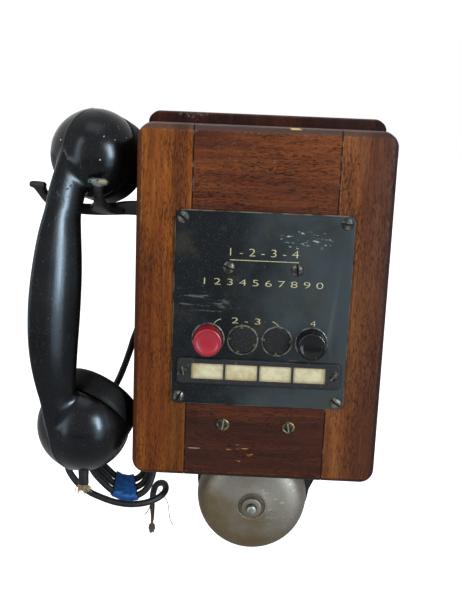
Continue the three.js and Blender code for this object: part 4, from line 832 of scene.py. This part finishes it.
rear_horn = cast([(-130, -53.6, 56, 4.4, 2.8), (-136.4, -52.6, 57.6, 3.8, 2.6),
                  (-141, -53.2, 61.2, 3.4, 2.5), (-143.6, -54.6, 65.2, 3.4, 2.4),
                  (-145, -55.3, 68.6, 4.8, 2.4)], LEVEL)
castings = [arm, bar, front_horn, rear_horn, lip(FRONT_LIP, FRONT_LIP_HALF), lip(REAR_LIP, REAR_LIP_HALF)]
made("switch_hook_casting", joined("hook_casting", castings, 0.6, 4), iron, "hook",
     stands_for=("switch_hook",), turn=False, smooth=60)


# Inside the case: the hook's bracket and contacts, the button frame and its springs, the coil,
# the condenser and the terminal block. They are the plain fittings, each in its own finish.
board_brown = Finish("pressed_fibre", Specular_IOR_Level=0.3)
layers = board_brown.noise(500, 5, (1, 0.15, 1))
board_brown.use(Base_Color=board_brown.mix(layers.between(0.35, 0.65), "6a452b", "3f2717"),
                Roughness=0.6 + layers * 0.2)
board_brown.relief(layers, 0.00006)


def dressed(finish, *nodes):
    """CAD pieces that keep their shape and get a better finish."""
    for node in nodes:
        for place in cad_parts[node].material_slots:
            place.material = finish.material


dressed(steel, "button_frame", "hook_bracket", "hook_spring", "condenser", "hammer_pivot")
dressed(brass, "red_contact_leaf", "black_contact_leaf", "hook_contact_leaf", "hammer")
dressed(board_brown, "contact_block", "hook_contact_block", "induction_coil", "bell_coil")
dressed(black, "terminal_block")


for colour_name in ("red", "black"):
    front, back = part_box(colour_name + "_return_spring")
    spring = finished(colour_name + "_return_spring", steel, "case", 0)
    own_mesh(spring)


# The handset is one bakelite moulding, a ridged handle between two bowls, hung by its ear bowl on
# the fork. Its shape is joined at 0.8 mm and smoothed, so the handle flows into the bowls.
def turn_about(degrees, axis):
    return Matrix.Rotation(math.radians(degrees), 4, axis)


HANDSET = Matrix.Translation((-110.4, -46.9, 89.5)) @ turn_about(-36.2, "Z")
HANDSET = HANDSET @ turn_about(-3.5, "X") @ turn_about(-3.8, "Y")
SPAN = 178.2
MOUTH = Vector((0, -10.6, -SPAN))
AT_EAR = HANDSET @ turn_about(-17.7, "X")
AT_MOUTH = HANDSET @ Matrix.Translation(MOUTH) @ turn_about(43, "X")
EAR_R, EAR_SEAM, MOUTH_R, MOUTH_SEAM = 29.2, 5.0, 30.8, 10.0
HALF, RIDGE, WAIST, BASE = 14.2, -18.5, 8.4, 15.0

bakelite = Finish("black_bakelite", Specular_IOR_Level=0.18, Specular_Tint=(0.78, 0.90, 1.0, 1.0))
across = HANDSET.to_3x3().col[0]
side = bakelite.axis("X") * across.x + bakelite.axis("Y") * across.y + bakelite.axis("Z") * across.z
side = side * 1000 - HANDSET.translation.dot(across)
parting = 1 - abs(side).between(0.12, 0.42)
cloudy = bakelite.noise(60, 5, None, 2.0, 0.6)
fleck = bakelite.noise(430, 1, None, 6.0).between(0.765, 0.775) * bakelite.axis("Z").between(0.070, 0.085)
hair = bakelite.noise(900, 2, (1, 1, 0.05), 4.0).between(0.70, 0.76)
dust = bakelite.noise(1300, 3, None, 1.0, 0.65).between(0.63, 0.72) * cloudy.between(0.40, 0.62)
dents = bakelite.noise(260, 4, None, 3.0, 0.6).between(0.50, 0.58)
dents = dents * bakelite.spot(-130, 70, 9, 8, wander=0.9)
colour = bakelite.mix(cloudy * 0.7, "08080a", "141211")
colour = bakelite.mix(hair * 0.3, colour, "5d5b58")
colour = bakelite.mix(parting * 0.5, colour, "3b4144")
colour = bakelite.mix(fleck, colour, "d8d4c8")
bakelite.use(Base_Color=bakelite.mix(dust * 0.45, colour, "8a8680"),
             Roughness=0.17 + cloudy * 0.14 + dust * 0.3 + hair * 0.1)
bakelite.relief(bakelite.noise(160, 4) + hair * 0.2 + parting * 0.8 - dents * 1.6, 0.00006)

# The handle is drawn along its line, one ring of its rounded three-sided section at a time. The
# line, in shares of the span, runs on round both bowls, and the handle is thickest in the middle.
corners = ((0, RIDGE), (HALF, WAIST), (0, BASE), (-HALF, WAIST), (0, RIDGE))
pulls = (((0.58 * HALF, RIDGE + 4.9), (HALF, WAIST - 10.8)), ((HALF, WAIST + 4), (0.58 * HALF, BASE)),
         ((-0.58 * HALF, BASE), (-HALF, WAIST + 4)), ((-HALF, WAIST - 10.8), (-0.58 * HALF, RIDGE + 4.9)))
section = []
for first, (pull_out, pull_in), last in zip(corners, pulls, corners[1:]):
    section += interpolate_bezier(*(Vector((*p, 0)) for p in (first, pull_out, pull_in, last)), 10)[:-1]
handle_line = ((0, -0.0915), (0.0457, -0.0792), (0.0792, -0.0457), (0.0945, 0.0), (0.116, 0.05),
               (0.154, 0.14), (0.184, 0.258), (0.203, 0.393), (0.218, 0.539), (0.222, 0.679),
               (0.208, 0.814), (0.186, 0.915), (0.161, 1.0), (0.1475, 1.051), (0.11, 1.088),
               (0.0595, 1.1016))
stations = flowing([Vector((0, -SPAN * out, -SPAN * down)) for out, down in handle_line], 6)
places = []
for i, middle in enumerate(stations):
    along = heading(stations, i)
    swell = max(0.74, 1.06 - 3.0 * (middle.z / -SPAN - 0.53) ** 2)
    inward = Vector((0, -along.z, along.y))
    turn = Matrix((Vector((swell, 0, 0)), inward * swell, along)).transposed().to_4x4()
    places.append(Matrix.Translation(middle) @ turn)
handle = drawn_through(section, places)


def shifted(mesh, matrix):
    bmesh.ops.transform(mesh, matrix=matrix, verts=mesh.verts)
    return mesh


def bowl(radius, seam, place):
    """A ball about the origin with its +Y side cut flat at the seam and that edge eased."""
    flat = math.asin(seam / radius)
    angles = [-math.pi / 2 + i * (flat + math.pi / 2) / 20 for i in range(1, 21)]
    arc = [(radius * math.cos(a), radius * math.sin(a)) for a in angles]
    ball = turned([(0, -radius), *arc, (arc[-1][0] - 0.5, seam + 0.25), (0, seam + 0.25)], 48)
    return shifted(ball, HANDSET.inverted() @ place)


# Where the handle's ridge runs into a bowl, the hollows on both sides of it are filled out further.
bowls = [bowl(EAR_R, EAR_SEAM, AT_EAR), bowl(MOUTH_R, MOUTH_SEAM, AT_MOUTH)]
moulding = joined("handset_body", [handle, *bowls], 0.8, 7)
for middle, radius in ((Vector((0, 0, 0)), EAR_R), (MOUTH, MOUTH_R)):
    root = [v for v in moulding.verts if abs((v.co - middle).length - radius) < 5
            and v.co.y < middle.y - 6 and abs(v.co.x) > 4]
    eased(moulding, root, 45)
made("handset_moulding", shifted(moulding, HANDSET), bakelite, "handset", stands_for=("handset_handle",),
     turn=False, smooth=60)


# The caps screw onto the bowls. Each is a shallow cup with a rounded rim, a dished face and seven
# holes, and holds a plated capsule.
CAP_HOLES, CAP_HOLE_R, CAP_HOLE_RING = 7, 1.6, 0.24

cap_black = Finish("cap_bakelite", Specular_IOR_Level=0.08)
scratched = cap_black.noise(900, 4).between(0.6, 0.75)
cap_black.use(Base_Color=cap_black.mix(scratched * 0.3, "050505", "4a4845"),
              Roughness=0.40 + cap_black.noise(60, 4) * 0.2)

for node, ball, seam, place in (("ear_cap", EAR_R, EAR_SEAM, AT_EAR),
                                ("mouth_cap", MOUTH_R, MOUTH_SEAM, AT_MOUTH)):
    radius = (ball ** 2 - seam ** 2) ** 0.5
    low, high = seam + 0.35, seam + 17
    cap = turned([(radius - 3.4, low), (radius - 0.4, low), (radius, low + 0.5), (radius - 0.1, low + 4),
                  (radius - 0.9, high - 4.2), (radius - 1.3, high - 2.4), (radius - 2.2, high - 0.9),
                  (radius - 3.6, high - 0.15), (radius - 5.2, high - 0.1), (0.66 * radius, high - 1.4),
                  (0.4 * radius, high - 3.2), (0.2 * radius, high - 4.2), (0, high - 4.5),
                  (0, high - 7.5), (radius - 3.4, high - 5.5), (radius - 3.4, low)], 96)
    bmesh.ops.recalc_face_normals(cap, faces=cap.faces)
    drills = bmesh.new()
    for i in range(CAP_HOLES):
        out = 0 if i == CAP_HOLES - 1 else CAP_HOLE_RING * radius
        drill = bmesh.ops.create_cone(drills, cap_ends=True, segments=20, radius1=CAP_HOLE_R,
                                      radius2=CAP_HOLE_R, depth=14)["verts"]
        bmesh.ops.rotate(drills, matrix=Matrix.Rotation(math.radians(90), 3, "X"), verts=drill)
        round_to = i * 2 * math.pi / (CAP_HOLES - 1)
        spot = (out * math.cos(round_to), high - 5, out * math.sin(round_to))
        bmesh.ops.translate(drills, vec=spot, verts=drill)
    shapes = []
    for label, mesh in (("cap_blank", cap), ("cap_drills", drills)):
        shapes.append(placed(label, bpy.data.meshes.new(label)))
        mesh.to_mesh(shapes[-1].data)
        mesh.free()
    blank, tools = shapes
    drilling = blank.modifiers.new("drilling", "BOOLEAN")
    drilling.operation, drilling.object, drilling.solver = "DIFFERENCE", tools, "EXACT"
    drilled = worked_out(blank)
    bpy.data.objects.remove(tools)
    made(node + "_moulding", shifted(drilled, place), cap_black, "handset", stands_for=(node,), turn=False,
         smooth=42)
dressed(steel, "receiver_capsule", "transmitter_capsule")


# A stub of the handset's own cord stands out below the mouth bowl: a black rubber sleeve, cut off,
# with its cotton braid frayed out over the end.
# Each thread stands a golden turn on from the last, so that they spread evenly.
THREAD_COUNT = 46
GOLDEN_TURN = math.pi * (3 - math.sqrt(5))

rubber = Finish("cord_rubber", Specular_IOR_Level=0.2)
scuff = rubber.noise(260, 5, None, 0.0, 0.6)
rubber.use(Base_Color=rubber.mix(scuff.between(0.52, 0.75) * 0.6, "101113", "3c3b3a"),
           Roughness=0.4 + scuff * 0.25)
rubber.relief(rubber.noise(700, 3), 0.00005)
stub_place = HANDSET @ Matrix.Translation(MOUTH) @ turn_about(-90, "X")
stub = turned([(0, 26.5), (3.6, 26.5), (3.6, 32), (3.35, 36.5), (3.5, 41.2), (3.3, 41.8), (0, 41.8)], 32)
made("handset_cord_stub", shifted(stub, stub_place), rubber, "handset", stands_for=("handset_cord_sleeve",),
     smooth=50)

cotton = Finish("braid_cotton", Roughness=0.9)
soiled = cotton.noise(1500, 3, None, 0.0, 0.7).between(0.35, 0.7)
cotton.use(Base_Color=cotton.mix(soiled, "c8b084", "6b4b2b"))
cotton.relief(cotton.noise(1800, 3), 0.0002)


def threads(name, finish, body, lines, thick, stands_for=()):
    """A bunch of threads, each a thin curve through its own points in millimetres."""
    bunch = bpy.data.curves.new(name, "CURVE")
    bunch.dimensions, bunch.bevel_depth, bunch.bevel_resolution, bunch.resolution_u = "3D", 1.0, 1, 6
    for points in lines:
        thread = bunch.splines.new("BEZIER")
        thread.bezier_points.add(len(points) - 1)
        for knot, point in zip(thread.bezier_points, points):
            knot.co, knot.radius = Vector(point) * 0.001, thick / 2000
            knot.handle_left_type = knot.handle_right_type = "AUTO"
    bunch.materials.append(finish.material)
    piece = placed(name, bunch)
    declared(piece, body, stands_for)
    return piece


def loose(seed, spread=1.0):
    """A repeatable step to one side or the other."""
    return spread * math.sin(seed * 12.9898) * math.cos(seed * 4.1414 + 1)


tufts = []
for i in range(THREAD_COUNT):
    turn = i * GOLDEN_TURN
    out = 1.2 + 1.6 * abs(loose(i))
    flare = 2.2 + 3.4 * abs(loose(i + 50))
    long = 3.4 + 3.2 * abs(loose(i + 90))
    bends = ((out, 40.5, 0), (out + 0.8, 42.4, 0.1), (flare, 42.2 + 0.5 * long, 0.3),
             (flare * 1.1, 41.6 + long, 0.5))
    tufts.append([stub_place @ Vector((r * math.cos(turn + wind), drop, r * math.sin(turn + wind)))
                  for r, drop, wind in bends])
threads("handset_cord_braid_tuft", cotton, "handset", tufts, 0.5, ("handset_cord_braid",))


# The telephone's own cord leaves the left side of the case through a moulded grommet. It is black
# rubber, 4.6 mm thick and limp, gathered in turns under the mouth bowl, and cut off.
CORD_R = 2.3
GROMMET_PLACE = (-72, -24, -26)
COIL = Vector((-97.4, -29.6, -114.8))
PITCH, GROWTH = 5.5, 0.1

grommet = turned([(2.6, -2.4), (5.4, -2.4), (6.4, -2.1), (6.9, -1.5), (7.0, -1.0), (7.0, 0), (4.8, 0),
                  (4.8, 9), (2.6, 9), (2.6, -2.4)], 48)
made("cord_grommet_moulding", moved(swung(grommet, -90, "Z"), *GROMMET_PLACE), black, "case",
     stands_for=("cord_grommet",), smooth=50)


def in_coil(turn, row):
    """A place in the coil: an angle from its top, and a row from the middle one."""
    up, left, size = math.cos(turn), math.sin(turn), 1 + GROWTH * row
    return COIL + Vector((size * (-7 * up - 24.1 * left), size * 11.8 * up - PITCH * row,
                          size * (30.6 * up + 6 * left)))


route = [
    (-58, -24, -26), (-66, -24, -26), (-75, -24, -26), (-81.2, -23.2, -29.4),
    (-85.6, -21, -38.6), (-89.4, -17.8, -51), (-94, -12.4, -65), (-99.5, -8.6, -79),
    (-105.5, -7.9, -90), (-110.8, -11.8, -101), (-114.2, -18.4, -110),
]
for step in range(4, 37):
    route.append(in_coil(step * math.pi / 6, step / 12 - 1.5))
route += [
    (-115, -26.2, -82.4), (-122.6, -31.2, -86.4), (-128, -34.1, -94.4), (-131.4, -38.2, -104),
    (-132, -41.6, -115.4), (-129.8, -45.6, -126.6), (-124.2, -49.8, -136), (-115, -52.8, -143.2),
    (-102.5, -54.8, -148.2), (-89.5, -55.6, -151.2), (-77.5, -54.6, -151.4), (-68, -51.2, -149.8),
    (-61.6, -45.2, -147.6), (-60.2, -37.8, -146), (-63, -30.6, -145.8), (-67.8, -26.6, -149.4),
    (-70, -25.2, -155.6), (-70.6, -25, -162),
]
cord = threads("line_cord_rubber", rubber, "case", [route], 2 * CORD_R,
               ("line_cord", "cord_coil", "cord_end"))
cord.data.bevel_resolution, cord.data.resolution_u, cord.data.use_fill_caps = 7, 10, True


# Blue tape is wound round the three strands at the coil's foot, wrinkled and lifting at its edges.
# It is drawn as a plain sleeve, and each of its points is then laid round the strands.
WRAP_R, WRAP_STEPS, WRAP_AROUND = 2.95, 20, 56
WRAP_START, WRAP_LENGTH = math.pi - 0.24, 0.66

tape_blue = Finish("blue_tape", Specular_IOR_Level=0.25)
crease = tape_blue.noise(330, 4, (0.4, 1, 1), 0.0, 0.6)
tape_blue.use(Base_Color=tape_blue.mix(crease.between(0.35, 0.65), "084a92", "1a66b6"),
              Roughness=0.42 + crease * 0.2)
tape_blue.relief(crease, 0.0004)
sleeve = [Vector((0, 0.001 * i, 0)) for i in range(WRAP_AROUND)]
rows = [Matrix.Translation((step, 0, 0)) for step in range(WRAP_STEPS + 1)]
wrap = drawn_through(sleeve, rows, capped=False)
half_round = WRAP_AROUND // 2
for v in wrap.verts:
    along, around = v.co.x / WRAP_STEPS, round(v.co.y * 1000)
    turn = WRAP_START + WRAP_LENGTH * along
    wave = around * 2 * math.pi / WRAP_AROUND
    if along in (0, 1):
        turn += (1 - 2 * along) * (0.020 * math.sin(4 * wave) + 0.014 * math.sin(9 * wave + 1))
    back, front = in_coil(turn, -1), in_coil(turn, 1)
    row = (front - back).normalized()
    level = (in_coil(turn + 0.01, 0) - in_coil(turn - 0.01, 0)).cross(row).normalized()
    end, face = (back, math.pi) if around < half_round else (front, 0)
    angle = face + (around % half_round) * math.pi / (half_round - 1) - math.pi / 2
    out = WRAP_R + 0.14 * math.sin(5 * wave + 19 * along) + 0.09 * math.sin(11 * wave - 31 * along)
    v.co = end + (row * math.cos(angle) + level * math.sin(angle)) * out
bmesh.ops.recalc_face_normals(wrap, faces=wrap.faces)
tape = made("cord_tape_winding", wrap, tape_blue, "case", stands_for=("cord_tape",), turn=False, smooth=80)
thickness = tape.modifiers.new("tape_thickness", "SOLIDIFY")
thickness.thickness, thickness.offset = 0.0006, 1.0


# The cord's cut end shows its cotton filling, drawn down and tied in a loose knot. One thin black
# wire has sprung away from it.
CUT_END = Vector((-70.6, -25, -162))
FILLING_COUNT, SHORT_COUNT = 22, 5

brown_cotton = Finish("brown_cotton", Roughness=0.9)
stained = brown_cotton.noise(1500, 3).between(0.35, 0.7)
brown_cotton.use(Base_Color=brown_cotton.mix(stained, "5d4630", "241810"))
brown_cotton.relief(brown_cotton.noise(1800, 3), 0.0002)
strands = []
for i in range(FILLING_COUNT):
    near = 0.3 + 1.4 * abs(loose(i))
    bends = ((near, -0.6, 0), (1.3 * near, 4, 0), (near, 9, 0.3), (0.7 * near, 15, 0.6), (0.7, 18.2, 0.8),
             (2.0, 20.4, 1.8), (2.3, 22.6, 3.2), (1.6, 24.4, 4.7),
             (0.4 + 0.8 * near, 25 + 1.3 * abs(loose(i + 7)), 4.9))
    strands.append([])
    for r, drop, wind in bends:
        turn = i * GOLDEN_TURN + wind
        strands[-1].append(CUT_END + Vector((r * math.cos(turn), r * math.sin(turn), -drop)))
for i in range(SHORT_COUNT):
    strands.append([(-71.8, -25.4, -163), (-72.6, -26, -168), (-74 - 0.5 * i, -26.4, -171 - 0.7 * i)])
fray = threads("cord_end_threads", brown_cotton, "case", strands, 0.6)
sprung = [(-66.5, -29, -151.6), (-63.4, -29.6, -155.4), (-60.4, -29.8, -158.6), (-58.6, -29.8, -164),
          (-57.9, -29.7, -170), (-56.8, -29.6, -175.4), (-54.8, -29.4, -179.6)]
wire = threads("cord_end_wire", rubber, "case", [sprung], 0.55)
